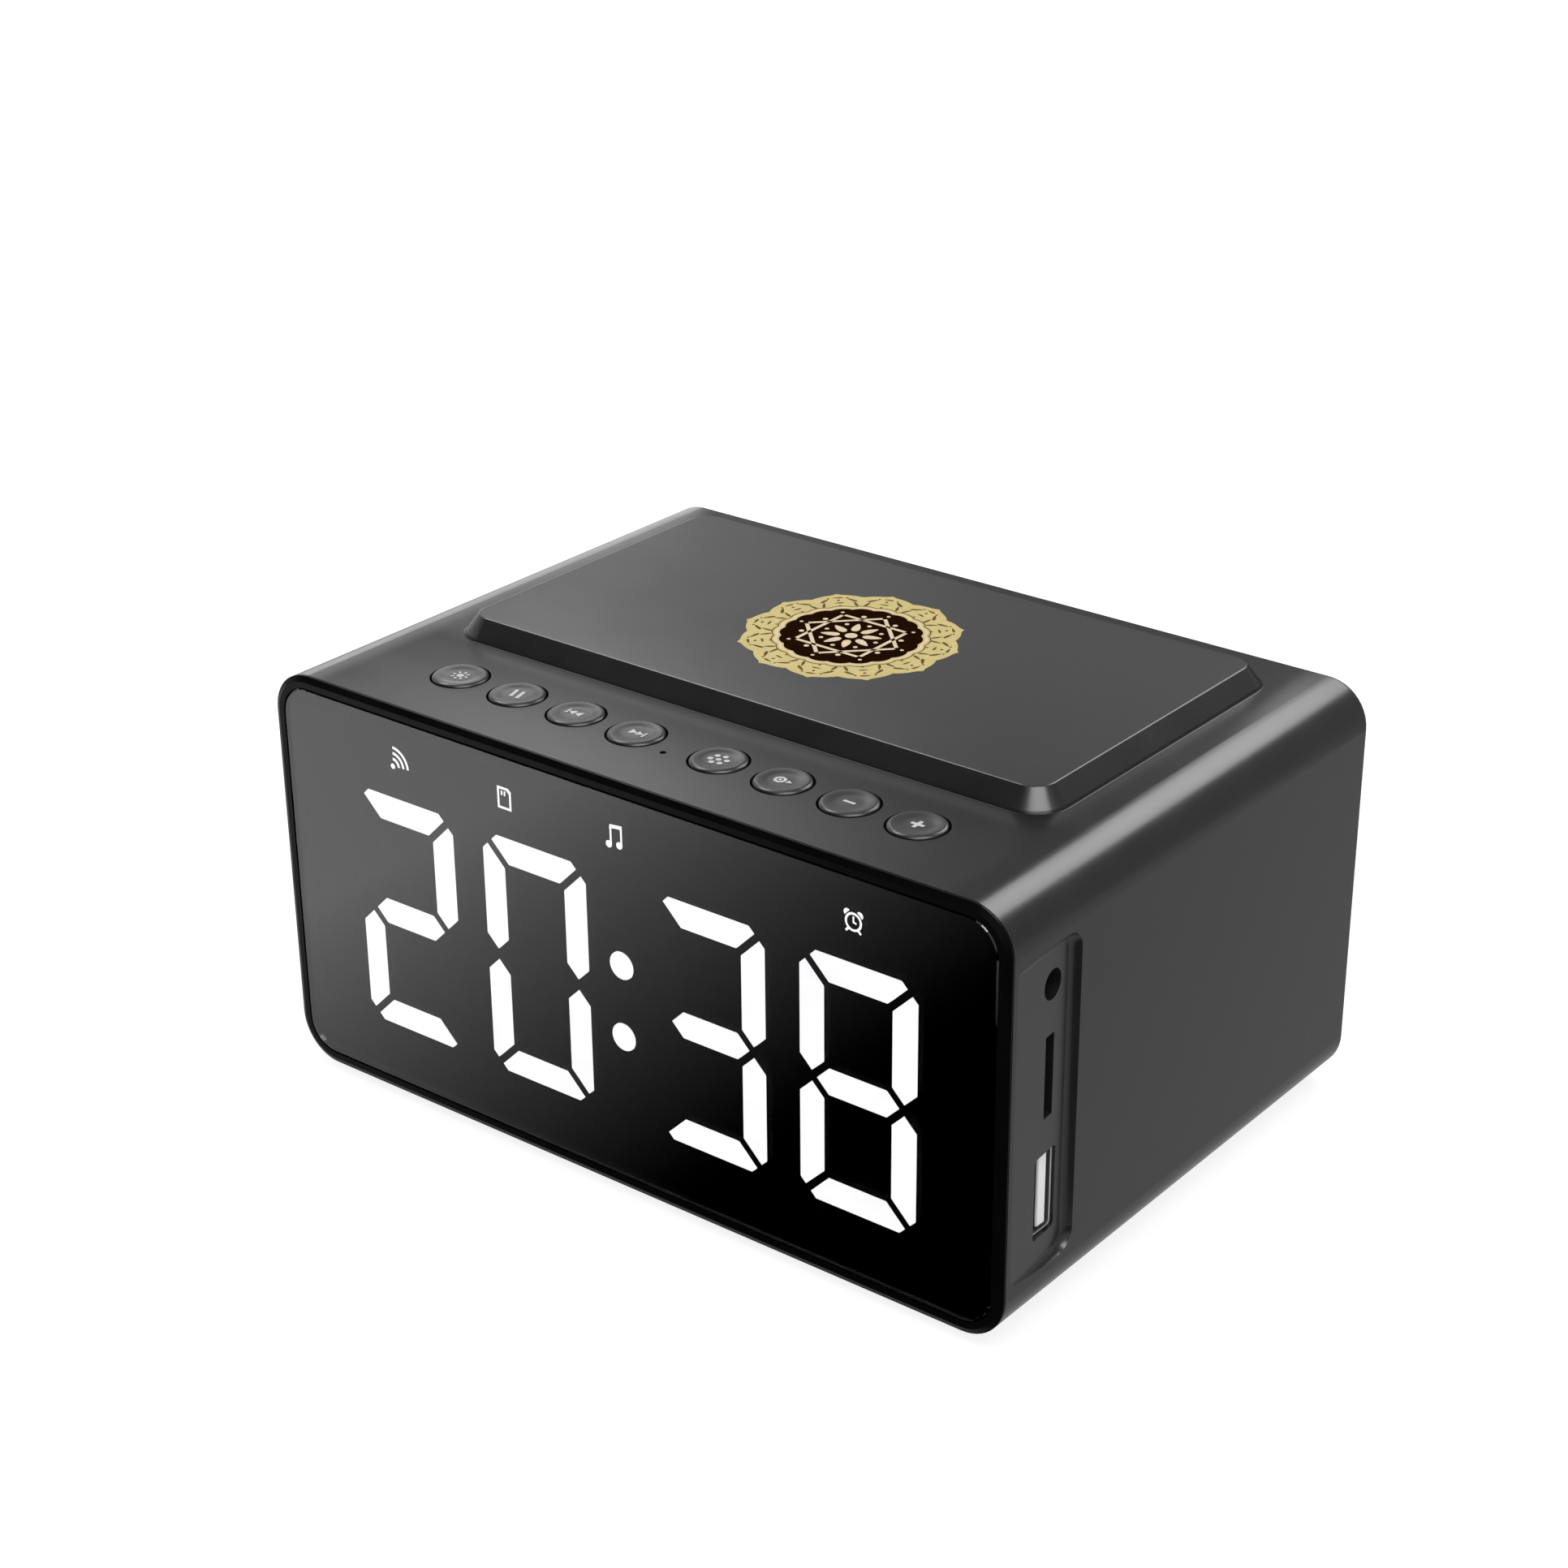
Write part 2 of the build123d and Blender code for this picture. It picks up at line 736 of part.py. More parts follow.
def make_speaker_basket(x):
    # Square flange, tapered bowl with four windows, and the plate that holds the magnet
    plate = RectangleRounded(speaker_flange, speaker_flange, 5.0) - Circle(17.0)
    basket = through_depth(Pos(x, speaker_height) * plate, flange_front, speaker_seat)
    y = flange_front
    rim = [(16.4, y + 0.6), (19.0, y + 0.6)]
    back = [(12.6, y - 8.4), (5.0, y - 8.4), (5.0, y - 7.4), (11.6, y - 7.4)]
    bowl = rim + back
    basket += turned_along_depth(bowl, x, speaker_height)
    window = Rectangle(8.4, 60.0) + Rectangle(60.0, 8.4)
    basket -= through_depth(Pos(x, speaker_height) * Rot(0, 0, 45) * window, y - 7.0, y - 1.4)
    for ear_x, ear_z in speaker_ears(x):
        basket -= along_depth(1.3, ear_x, ear_z, y - 2, speaker_seat + 1)
    return basket


def make_speaker_magnet(x):
    y = flange_front - 8.4
    profile = [(0, y), (12.4, y), (12.4, y - 6.4), (11.8, y - 7.0), (0, y - 7.0)]
    return turned_along_depth(profile, x, speaker_height)


def make_speaker_cone(x):
    # Paper cone with its dust cap and voice coil former
    y = flange_front
    profile = [
        (0, y - 3.2),
        (2.6, y - 3.6),
        (4.6, y - 5.0),
        (14.0, y + 0.2),
        (14.0, y + 0.7),
        (4.6, y - 4.2),
        (2.6, y - 3.0),
        (0, y - 2.6),
    ]
    return turned_along_depth(profile, x, speaker_height)


def make_speaker_surround(x):
    # Half roll of rubber between the cone's edge and the flange
    y = speaker_seat
    roll = Pos(15.6, y) * (Circle(1.6) - Circle(1.15)) & Pos(15.6, y + 2) * Rectangle(8, 4)
    ring = revolve(roll, Axis.Y)
    return Pos(x, 0, speaker_height) * ring


def make_inlet_board():
    low = bottom + 11.4
    return box(-7.5, 7.5, cover_front - 14.6, cover_front - 0.1, low, low + 1.2)


def inlet_section(long, high):
    return Pos(0, bottom + inlet_height) * SlotOverall(long, high)


def make_inlet_shell():
    back = cover_front + cover_thickness - 0.6
    shell = through_depth(inlet_section(8.94, 3.26), back - 7.6, back)
    return shell - through_depth(inlet_section(8.34, 2.56), back - 6.4, back + 1)


def make_inlet_tongue():
    back = cover_front + cover_thickness - 0.6
    z = bottom + inlet_height
    return box(-3.3, 3.3, back - 6.4, back - 0.8, z - 0.35, z + 0.35)


# Feet and fasteners


def make_feet():
    r = foot_radius
    points = [(0, 0), (r - 0.7, 0), (r, 0.5), (r, bottom + foot_pocket), (0, bottom + foot_pocket)]
    return Compound(children=[turned_upright(points, x, y) for x, y in foot_places])


def screw(length, head_radius, head_height, shank_radius):
    # A pan head screw standing on its point, with its head's seat at z = 0
    h = head_height
    points = [
        (0, -length),
        (shank_radius, -length),
        (shank_radius, 0),
        (head_radius, 0),
        (head_radius, h * 0.5),
        (head_radius * 0.6, h),
        (0, h),
    ]
    return revolve(Plane.XZ * make_face(Polyline(*points, close=True)), Axis.Z)


def make_rear_screws():
    cover_screw = Rot(-90, 0, 0) * screw(9.0, 2.3, 1.3, 1.25)
    screws = []
    for side_x, side_z in rear_posts:
        x = side_x * (half_width - post_inset)
        z = middle + side_z * (body_height / 2 - post_inset)
        screws.append(Pos(x, cover_front + 0.8, z) * cover_screw)
    return Compound(children=screws)


def make_inner_screws():
    # Screws of the display board, main board, key board, coil tray, speakers and cradle
    screws = []
    backwards = Rot(-90, 0, 0) * screw(4.4, 2.0, 1.0, 1.0)
    forwards = Rot(90, 0, 0) * screw(5.0, 2.1, 1.1, 1.2)
    into_cover = Rot(90, 0, 0) * screw(4.2, 1.8, 1.0, 0.95)
    upwards = Rot(180, 0, 0) * screw(3.4, 1.9, 1.1, 1.0)
    for x, z in bezel_posts:
        screws.append(Pos(x, display_board_back, z) * backwards)
    for x, z in main_board_screws:
        screws.append(Pos(x, front + main_board_depth, z) * forwards)
    for x in (-49.3, 49.3):
        screws.append(Pos(x, button_y, key_board_top - board_thickness) * upwards)
    for x, y in coil_screws():
        screws.append(Pos(x, y, tray_bottom) * upwards)
    for x_middle in (-speaker_x, speaker_x):
        for x, z in speaker_ears(x_middle):
            screws.append(Pos(x, flange_front, z) * into_cover)
    return Compound(children=screws)


# Write every piece to its own file


def main():
    pieces = {
        "main_housing": make_housing(),
        "front_bezel": make_bezel(),
        "display_lens": make_lens(),
        "lens_adhesive": make_lens_adhesive(),
        "diffuser_film": make_diffuser_film(),
        "display_reflector": make_display_reflector(),
        "lit_segments": make_segments(True),
        "unlit_segments": make_segments(False),
        "display_board": make_display_board(),
        "display_leds": make_display_leds(),
        "main_board": make_main_board(),
        "board_chips": make_board_chips(),
        "display_header": make_display_header(),
        "audio_jack": make_audio_jack(),
        "memory_card_socket": make_card_socket(),
        "usb_socket_shell": make_usb_shell(),
        "usb_socket_tongue": make_usb_tongue(),
        "key_board": make_key_board(),
        "key_switches": make_switches(),
        "mic_boot": make_mic_boot(),
        "microphone": make_microphone(),
        "charging_coil": make_coil(),
        "coil_ferrite": make_ferrite(),
        "coil_tray": make_coil_tray(),
        "charger_board": make_charger_board(),
        "charger_chips": make_charger_chips(),
        "battery_cell": make_battery_cell(),
        "battery_cradle": make_battery_cradle(),
        "rear_cover": make_rear_cover(),
        "grille_cloth": make_grille_cloth(),
        "inlet_board": make_inlet_board(),
        "inlet_shell": make_inlet_shell(),
        "inlet_tongue": make_inlet_tongue(),
        "rubber_feet": make_feet(),
        "rear_screws": make_rear_screws(),
        "inner_screws": make_inner_screws(),
    }
    for name, x in zip(button_names, button_x):
        pieces["button_" + name] = make_button(x)
        pieces["plunger_" + name] = make_plunger(x)
    for side, x in (("left", -speaker_x), ("right", speaker_x)):
        pieces[side + "_speaker_basket"] = make_speaker_basket(x)
        pieces[side + "_speaker_magnet"] = make_speaker_magnet(x)
        pieces[side + "_speaker_cone"] = make_speaker_cone(x)
        pieces[side + "_speaker_surround"] = make_speaker_surround(x)
    os.makedirs("parts", exist_ok=True)
    for name, piece in pieces.items():
        export_step(piece, "parts/" + name + ".step")


main()
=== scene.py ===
import bpy
import bmesh
import json
import math
from mathutils import Matrix, Vector


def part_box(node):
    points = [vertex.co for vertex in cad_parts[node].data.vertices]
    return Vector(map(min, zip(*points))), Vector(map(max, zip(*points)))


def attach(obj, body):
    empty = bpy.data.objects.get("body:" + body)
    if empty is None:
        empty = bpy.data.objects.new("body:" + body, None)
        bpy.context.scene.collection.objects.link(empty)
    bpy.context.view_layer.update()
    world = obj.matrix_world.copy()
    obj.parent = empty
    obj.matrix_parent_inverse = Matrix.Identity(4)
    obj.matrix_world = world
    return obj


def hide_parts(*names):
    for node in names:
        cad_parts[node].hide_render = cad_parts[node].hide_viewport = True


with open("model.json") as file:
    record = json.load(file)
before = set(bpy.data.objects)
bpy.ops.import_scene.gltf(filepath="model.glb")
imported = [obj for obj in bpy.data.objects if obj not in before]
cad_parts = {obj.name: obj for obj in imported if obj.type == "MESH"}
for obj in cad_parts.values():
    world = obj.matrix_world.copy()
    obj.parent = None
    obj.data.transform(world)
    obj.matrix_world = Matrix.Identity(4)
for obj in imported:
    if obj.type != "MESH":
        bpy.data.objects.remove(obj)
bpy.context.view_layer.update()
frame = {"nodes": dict(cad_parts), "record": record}        # nodes and record of the imported clock
scene = bpy.context.scene
mm = 0.001
slotOf = {part["node"]: part["material_slot"] for part in frame["record"]["subparts"]}
print("frame loaded with", len(frame["nodes"]), "solids")


# small helpers for finishes

def newFinish(name):
    finish = bpy.data.materials.new(name)
    finish.use_nodes = True
    return finish, finish.node_tree.nodes["Principled BSDF"]


def addNode(finish, kind, values=None, **settings):
    node = finish.node_tree.nodes.new("ShaderNode" + kind)
    for key, value in settings.items():
        setattr(node, key, value)
    for key, value in (values or {}).items():
        node.inputs[key].default_value = value
    return node


def join(finish, start, end):
    finish.node_tree.links.new(start, end)


def objectPoint(finish, stretch=(1, 1, 1), shift=(0, 0, 0)):
    mapping = addNode(finish, "Mapping", {"Location": shift, "Scale": stretch})
    join(finish, addNode(finish, "TexCoord").outputs["Object"], mapping.inputs["Vector"])
    return mapping.outputs["Vector"]


def objectAxes(finish):
    axes = addNode(finish, "SeparateXYZ")
    join(finish, objectPoint(finish), axes.inputs["Vector"])
    return axes.outputs


def speckle(finish, size, detail=2.0, stretch=(1, 1, 1)):
    # blotches about size across
    noise = addNode(finish, "TexNoise", {"Scale": 1 / size, "Detail": detail})
    join(finish, objectPoint(finish, stretch), noise.inputs["Vector"])
    return noise.outputs["Fac"]


def between(finish, amount, low, high, start=0.2, end=0.8, curve="LINEAR"):
    spread = addNode(finish, "MapRange", {"From Min": start, "From Max": end, "To Min": low, "To Max": high},
                     interpolation_type=curve)
    join(finish, amount, spread.inputs["Value"])
    return spread.outputs["Result"]


def calculate(finish, operation, first, second):
    step = addNode(finish, "Math", operation=operation)
    for socket, value in zip(step.inputs, (first, second)):
        if isinstance(value, (int, float)):
            socket.default_value = value
        else:
            join(finish, value, socket)
    return step.outputs[0]


def colourBetween(finish, amount, first, second, start=0.2, end=0.8):
    ramp = addNode(finish, "ValToRGB")
    for stop, place, colour in zip(ramp.color_ramp.elements, (start, end), (first, second)):
        stop.position = place
        stop.color = (*colour, 1)
    join(finish, amount, ramp.inputs["Fac"])
    return ramp.outputs["Color"]


def roughen(finish, shader, height, depth, strength=1.0):
    bump = addNode(finish, "Bump", {"Strength": strength, "Distance": depth})
    join(finish, height, bump.inputs["Height"])
    join(finish, bump.outputs["Normal"], shader.inputs["Normal"])


def blend(finish, share, first, second):
    mix = addNode(finish, "MixShader")
    for socket, source in zip(mix.inputs, (share, first.outputs[0], second.outputs[0])):
        join(finish, source, socket)
    return mix


# moulded, painted and plated finishes: colour drifts from colour to shade, grain is the surface's texture

plainFinishes = {
    "housing_plastic": dict(colour=(0.0125, 0.0125, 0.0132), shade=(0.0155, 0.0155, 0.0160), cloud=9 * mm,
                            roughness=(0.23, 0.28), grain=0.22 * mm, depth=0.005 * mm, specular=0.35),
    "button_plastic": dict(colour=(0.0125, 0.0125, 0.0132), shade=(0.0150, 0.0150, 0.0155), cloud=3 * mm,
                           roughness=(0.29, 0.34), grain=0.20 * mm, depth=0.005 * mm, specular=0.35),
    "bezel_plastic": dict(colour=(0.0018, 0.0018, 0.0020), shade=(0.0030, 0.0030, 0.0032), cloud=12 * mm,
                          roughness=(0.22, 0.30), grain=0.5 * mm, depth=0.001 * mm, specular=0.05),
    "diffuser_film": dict(colour=(0.0018, 0.0018, 0.0019), shade=(0.0028, 0.0028, 0.0029), cloud=6 * mm,
                          roughness=(0.70, 0.82), grain=0.3 * mm, depth=0.002 * mm, specular=0.0),
    "adhesive_tape": dict(colour=(0.0008, 0.0008, 0.0008), shade=(0.0020, 0.0020, 0.0020), cloud=1 * mm,
                          roughness=(0.80, 0.95), grain=0.12 * mm, depth=0.02 * mm, specular=0.0),
    "reflector_plastic": dict(colour=(0.0012, 0.0012, 0.0013), shade=(0.0018, 0.0018, 0.0018), cloud=4 * mm,
                              roughness=(0.60, 0.75), grain=0.3 * mm, depth=0.004 * mm, specular=0.0),
    "dark_segment_resin": dict(colour=(0.010, 0.010, 0.011), shade=(0.014, 0.014, 0.015), cloud=2 * mm,
                               roughness=(0.45, 0.6), grain=0.3 * mm, depth=0.003 * mm, specular=0.02),
    "led_package": dict(colour=(0.78, 0.74, 0.50), shade=(0.86, 0.84, 0.62), cloud=0.8 * mm,
                        roughness=(0.25, 0.40), grain=0.2 * mm, depth=0.003 * mm, specular=0.5),
    "chip_black": dict(colour=(0.018, 0.018, 0.019), shade=(0.030, 0.030, 0.031), cloud=1.5 * mm,
                       roughness=(0.55, 0.70), grain=0.12 * mm, depth=0.008 * mm, specular=0.4),
    "jack_plastic": dict(colour=(0.008, 0.008, 0.009), shade=(0.013, 0.013, 0.014), cloud=2 * mm,
                         roughness=(0.40, 0.55), grain=0.25 * mm, depth=0.004 * mm, specular=0.4),
    "plated_steel": dict(colour=(0.70, 0.69, 0.67), shade=(0.80, 0.79, 0.77), cloud=2.5 * mm, metallic=1.0,
                         roughness=(0.16, 0.28), grain=0.25 * mm, depth=0.002 * mm, stretch=(1, 6, 1)),
    "tongue_plastic": dict(colour=(0.86, 0.86, 0.84), shade=(0.92, 0.92, 0.91), cloud=3 * mm,
                           roughness=(0.28, 0.38), grain=0.3 * mm, depth=0.002 * mm, specular=0.5),
    "ferrite": dict(colour=(0.055, 0.055, 0.06), shade=(0.085, 0.085, 0.09), cloud=2 * mm,
                    roughness=(0.60, 0.80), grain=0.15 * mm, depth=0.02 * mm, specular=0.4),
    "inner_plastic": dict(colour=(0.020, 0.020, 0.021), shade=(0.030, 0.030, 0.031), cloud=6 * mm,
                          roughness=(0.45, 0.60), grain=0.3 * mm, depth=0.006 * mm, specular=0.4),
    "cell_wrap": dict(colour=(0.015, 0.11, 0.24), shade=(0.025, 0.15, 0.30), cloud=8 * mm, coat=0.4,
                      roughness=(0.22, 0.34), grain=1.5 * mm, depth=0.02 * mm, specular=0.5),
    "feet_rubber": dict(colour=(0.016, 0.016, 0.016), shade=(0.026, 0.026, 0.026), cloud=2 * mm,
                        roughness=(0.75, 0.92), grain=0.2 * mm, depth=0.02 * mm, specular=0.3),
    "screw_steel": dict(colour=(0.020, 0.020, 0.022), shade=(0.045, 0.043, 0.042), cloud=0.8 * mm,
                        roughness=(0.32, 0.48), grain=0.12 * mm, depth=0.004 * mm, metallic=0.8),
    "plunger_plastic": dict(colour=(0.48, 0.43, 0.33), shade=(0.56, 0.51, 0.41), cloud=1.5 * mm,
                            roughness=(0.35, 0.5), grain=0.3 * mm, depth=0.003 * mm, specular=0.5),
    "basket_steel": dict(colour=(0.022, 0.022, 0.023), shade=(0.034, 0.034, 0.035), cloud=5 * mm,
                         roughness=(0.35, 0.5), grain=0.4 * mm, depth=0.01 * mm, specular=0.5),
    "magnet": dict(colour=(0.09, 0.09, 0.09), shade=(0.14, 0.14, 0.135), cloud=3 * mm, metallic=0.6,
                   roughness=(0.40, 0.60), grain=0.2 * mm, depth=0.02 * mm),
    "cone_paper": dict(colour=(0.020, 0.020, 0.021), shade=(0.042, 0.041, 0.040), cloud=0.9 * mm,
                       roughness=(0.80, 0.95), grain=0.35 * mm, depth=0.05 * mm, specular=0.2),
    "surround_rubber": dict(colour=(0.014, 0.014, 0.014), shade=(0.022, 0.022, 0.022), cloud=2.5 * mm,
                            roughness=(0.50, 0.65), grain=0.4 * mm, depth=0.01 * mm, specular=0.4),
}


def plainFinish(name, look):
    finish, shader = newFinish(name)
    stretch = look.get("stretch", (1, 1, 1))
    drift = speckle(finish, look["cloud"], detail=4.0, stretch=stretch)
    grain = speckle(finish, look["grain"], detail=1.0, stretch=stretch)
    join(finish, colourBetween(finish, drift, look["colour"], look["shade"]), shader.inputs["Base Color"])
    join(finish, between(finish, drift, *look["roughness"]), shader.inputs["Roughness"])
    roughen(finish, shader, grain, look["depth"])
    shader.inputs["Metallic"].default_value = look.get("metallic", 0.0)
    shader.inputs["Specular IOR Level"].default_value = look.get("specular", 0.5)
    shader.inputs["Coat Weight"].default_value = look.get("coat", 0.0)
    return finish


finishes = {name: plainFinish(name, look) for name, look in plainFinishes.items()}


# the moulded deck dips gently before its rounded side edges; its specular level is lowered as painted shade at the
# platform's foot and on the strip in front of it

deckLook = dict(dipFrom=55 * mm, dipTo=65 * mm, dip=0.60 * mm, footLine=66.2 * mm,
                footReach=(0.16 * mm, 0.30 * mm), footShadeSpecular=0.12, stripFrom=-38 * mm, stripTo=-22 * mm,
                stripFade=5 * mm, stripEnds=(56 * mm, 62 * mm), stripPaintedShade=0.48)


def softenDeck(finish):
    shader = finish.node_tree.nodes["Principled BSDF"]
    axes = objectAxes(finish)
    side = calculate(finish, "ABSOLUTE", axes["X"], 0.0)
    dip = between(finish, side, 1.0, 0.0, deckLook["dipFrom"], deckLook["dipTo"], "SMOOTHSTEP")
    crown = addNode(finish, "Bump", {"Strength": 1.0, "Distance": deckLook["dip"]})
    join(finish, dip, crown.inputs["Height"])
    grain = shader.inputs["Normal"].links[0].from_node
    join(finish, crown.outputs["Normal"], grain.inputs["Normal"])
    # painted shade: the specular level drops on the platform's foot line and on the deck strip in front of the
    # platform
    away = calculate(finish, "ABSOLUTE", calculate(finish, "SUBTRACT", axes["Z"], deckLook["footLine"]), 0.0)
    gloss = between(finish, away, deckLook["footShadeSpecular"], plainFinishes["housing_plastic"]["specular"],
                    *deckLook["footReach"])
    stripEnd = deckLook["stripTo"] + deckLook["stripFade"]
    strip = between(finish, axes["Y"], 0.0, deckLook["stripPaintedShade"], deckLook["stripFrom"], deckLook["stripTo"])
    for share in (between(finish, side, 1.0, 0.0, *deckLook["stripEnds"]),
                  calculate(finish, "LESS_THAN", axes["Z"], deckLook["footLine"]),
                  between(finish, axes["Y"], 1.0, 0.0, deckLook["stripTo"], stripEnd)):
        strip = calculate(finish, "MULTIPLY", strip, share)
    gloss = calculate(finish, "MULTIPLY", gloss, calculate(finish, "SUBTRACT", 1.0, strip))
    join(finish, gloss, shader.inputs["Specular IOR Level"])


softenDeck(finishes["housing_plastic"])


# the display: smoked acrylic in front of lit resin

lensLook = dict(tint=(0.20, 0.20, 0.205), ior=1.49, roughness=0.0, waviness=30 * mm, depth=0.002 * mm,
                strength=0.3)
litLook = dict(glow=(1.0, 1.0, 1.0), strength=5.6, falloff=0.10, blotch=6 * mm, colour=(0.82, 0.82, 0.82),
               shade=(0.9, 0.9, 0.9), roughness=0.5)


def lensFinish():
    finish, shader = newFinish("lens_acrylic")
    shader.inputs["Base Color"].default_value = (*lensLook["tint"], 1)
    shader.inputs["Transmission Weight"].default_value = 1.0
    shader.inputs["IOR"].default_value = lensLook["ior"]
    shader.inputs["Roughness"].default_value = lensLook["roughness"]
    waves = speckle(finish, lensLook["waviness"], detail=0.0)
    roughen(finish, shader, waves, lensLook["depth"], lensLook["strength"])
    return finish


def litFinish():
    finish, shader = newFinish("lit_segment_resin")
    blotches = speckle(finish, litLook["blotch"], detail=1.0)
    dimmest = litLook["strength"] * (1 - litLook["falloff"])
    join(finish, between(finish, blotches, dimmest, litLook["strength"]), shader.inputs["Emission Strength"])
    shader.inputs["Emission Color"].default_value = (*litLook["glow"], 1)
    body = colourBetween(finish, blotches, litLook["colour"], litLook["shade"])
    join(finish, body, shader.inputs["Base Color"])
    shader.inputs["Roughness"].default_value = litLook["roughness"]
    return finish


finishes["lens_acrylic"] = lensFinish()
finishes["lit_segment_resin"] = litFinish()


# circuit boards, coil winding and grille cloth

wavePitch = 0.314        # width of one band of a wave texture at scale 1
boardLook = dict(mask=(0.006, 0.060, 0.022), trace=(0.012, 0.105, 0.040), pitch=1.6 * mm, gap=0.08,
                 length=3.0, height=0.5, cloud=2 * mm, roughness=(0.26, 0.38), depth=0.02 * mm)
coilLook = dict(wire=(0.55, 0.24, 0.09), shadow=(0.20, 0.075, 0.028), turns=1.25 * mm, bands=(0.1, 0.6),
                metallic=0.7, cloud=0.4 * mm, roughness=(0.30, 0.45), depth=0.15 * mm)
clothLook = dict(thread=(0.020, 0.020, 0.021), hollow=(0.004, 0.004, 0.004), pitch=0.45 * mm, stray=0.6,
                 strayScale=2.0, roughness=0.9, sheen=0.3, depth=0.1 * mm)


def boardFinish():
    finish, shader = newFinish("circuit_board")
    tracks = addNode(finish, "TexBrick", {"Scale": 1 / boardLook["pitch"], "Mortar Size": boardLook["gap"],
                                         "Brick Width": boardLook["length"], "Row Height": boardLook["height"]})
    join(finish, objectPoint(finish), tracks.inputs["Vector"])
    for part, colour in (("Color1", "mask"), ("Color2", "mask"), ("Mortar", "trace")):
        tracks.inputs[part].default_value = (*boardLook[colour], 1)
    join(finish, tracks.outputs["Color"], shader.inputs["Base Color"])
    cloud = speckle(finish, boardLook["cloud"])
    join(finish, between(finish, cloud, *boardLook["roughness"]), shader.inputs["Roughness"])
    roughen(finish, shader, tracks.outputs["Fac"], boardLook["depth"])
    return finish


def coilFinish():
    finish, shader = newFinish("coil_wire")
    low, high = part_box("charging_coil")
    centre = (low + high) / 2
    rings = addNode(finish, "TexWave", {"Scale": wavePitch / coilLook["turns"]}, wave_type="RINGS",
                    rings_direction="Z")
    join(finish, objectPoint(finish, shift=(-centre.x, -centre.y, 0)), rings.inputs["Vector"])
    turns = rings.outputs["Fac"]
    colour = colourBetween(finish, turns, coilLook["shadow"], coilLook["wire"], *coilLook["bands"])
    join(finish, colour, shader.inputs["Base Color"])
    shader.inputs["Metallic"].default_value = coilLook["metallic"]
    cloud = speckle(finish, coilLook["cloud"])
    join(finish, between(finish, cloud, *coilLook["roughness"]), shader.inputs["Roughness"])
    roughen(finish, shader, turns, coilLook["depth"])
    return finish


def clothFinish():
    finish, shader = newFinish("grille_cloth")
    threads = []
    for direction in ("X", "Z"):
        wave = addNode(finish, "TexWave", {"Scale": wavePitch / clothLook["pitch"],
                                          "Distortion": clothLook["stray"],
                                          "Detail Scale": clothLook["strayScale"]}, bands_direction=direction)
        join(finish, objectPoint(finish), wave.inputs["Vector"])
        threads.append(wave.outputs["Fac"])
    weave = calculate(finish, "MAXIMUM", *threads)
    colour = colourBetween(finish, weave, clothLook["hollow"], clothLook["thread"])
    join(finish, colour, shader.inputs["Base Color"])
    shader.inputs["Roughness"].default_value = clothLook["roughness"]
    shader.inputs["Sheen Weight"].default_value = clothLook["sheen"]
    roughen(finish, shader, weave, clothLook["depth"])
    return finish


finishes["circuit_board"] = boardFinish()
finishes["coil_wire"] = coilFinish()
finishes["grille_cloth"] = clothFinish()


# shell and tongue of the socket are painted darker away from their open ends: painted shade for the shadow inside

socketLook = {
    "usb_socket_shell": dict(bright=(0.92, 0.92, 0.91), shadow=(0.10, 0.10, 0.10), reach=0.12 * mm,
                             bands=(0.1, 0.9), metallic=0.3, roughness=(0.34, 0.46), grain=0.3 * mm,
                             depth=0.002 * mm),
    "usb_socket_tongue": dict(bright=(0.95, 0.95, 0.94), shadow=(0.02, 0.02, 0.02), reach=0.45 * mm,
                              bands=(0.1, 0.9), metallic=0.0, roughness=(0.29, 0.41), grain=0.3 * mm,
                              depth=0.002 * mm),
}


def socketFinish(name, look):
    finish, shader = newFinish(name)
    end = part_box(name)[1].x
    # painted shade: colour runs from the shadow colour inside to the bright colour at the open end
    pale = between(finish, objectAxes(finish)["X"], 0.0, 1.0, end - look["reach"], end)
    colour = colourBetween(finish, pale, look["shadow"], look["bright"], *look["bands"])
    join(finish, colour, shader.inputs["Base Color"])
    grain = speckle(finish, look["grain"])
    join(finish, between(finish, grain, *look["roughness"]), shader.inputs["Roughness"])
    shader.inputs["Metallic"].default_value = look["metallic"]
    roughen(finish, shader, grain, look["depth"])
    return finish


finishes.update({name: socketFinish(name, look) for name, look in socketLook.items()})

for name, solid in frame["nodes"].items():
    for holder in solid.material_slots:
        holder.material = finishes.get(name, finishes[slotOf[name]])
print("finishes set on the solids")


# the printed film and the tape stand a hair behind the lens, so that its back face shines evenly

gapLook = dict(width=0.02 * mm, weld=0.001 * mm)


def addPiece(form, name, finish, body):
    mesh = bpy.data.meshes.new(name)
    form.to_mesh(mesh)
    form.free()
    mesh.materials.append(finish)
    piece = bpy.data.objects.new(name, mesh)
    scene.collection.objects.link(piece)
    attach(piece, body)
    return piece


for name in ("diffuser_film", "lens_adhesive"):
    sheet = bmesh.new()
    sheet.from_mesh(frame["nodes"][name].data)
    bmesh.ops.remove_doubles(sheet, verts=sheet.verts[:], dist=gapLook["weld"])
    frontVerts = [vert for vert in sheet.verts if vert.co.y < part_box(name)[0].y + gapLook["width"]]
    bmesh.ops.translate(sheet, verts=frontVerts, vec=(0, gapLook["width"], 0))
    piece = addPiece(sheet, name + "_sheet", finishes[slotOf[name]], "clock_body")
    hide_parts(name)
print("film and tape set behind the lens")


# printed ink finishes

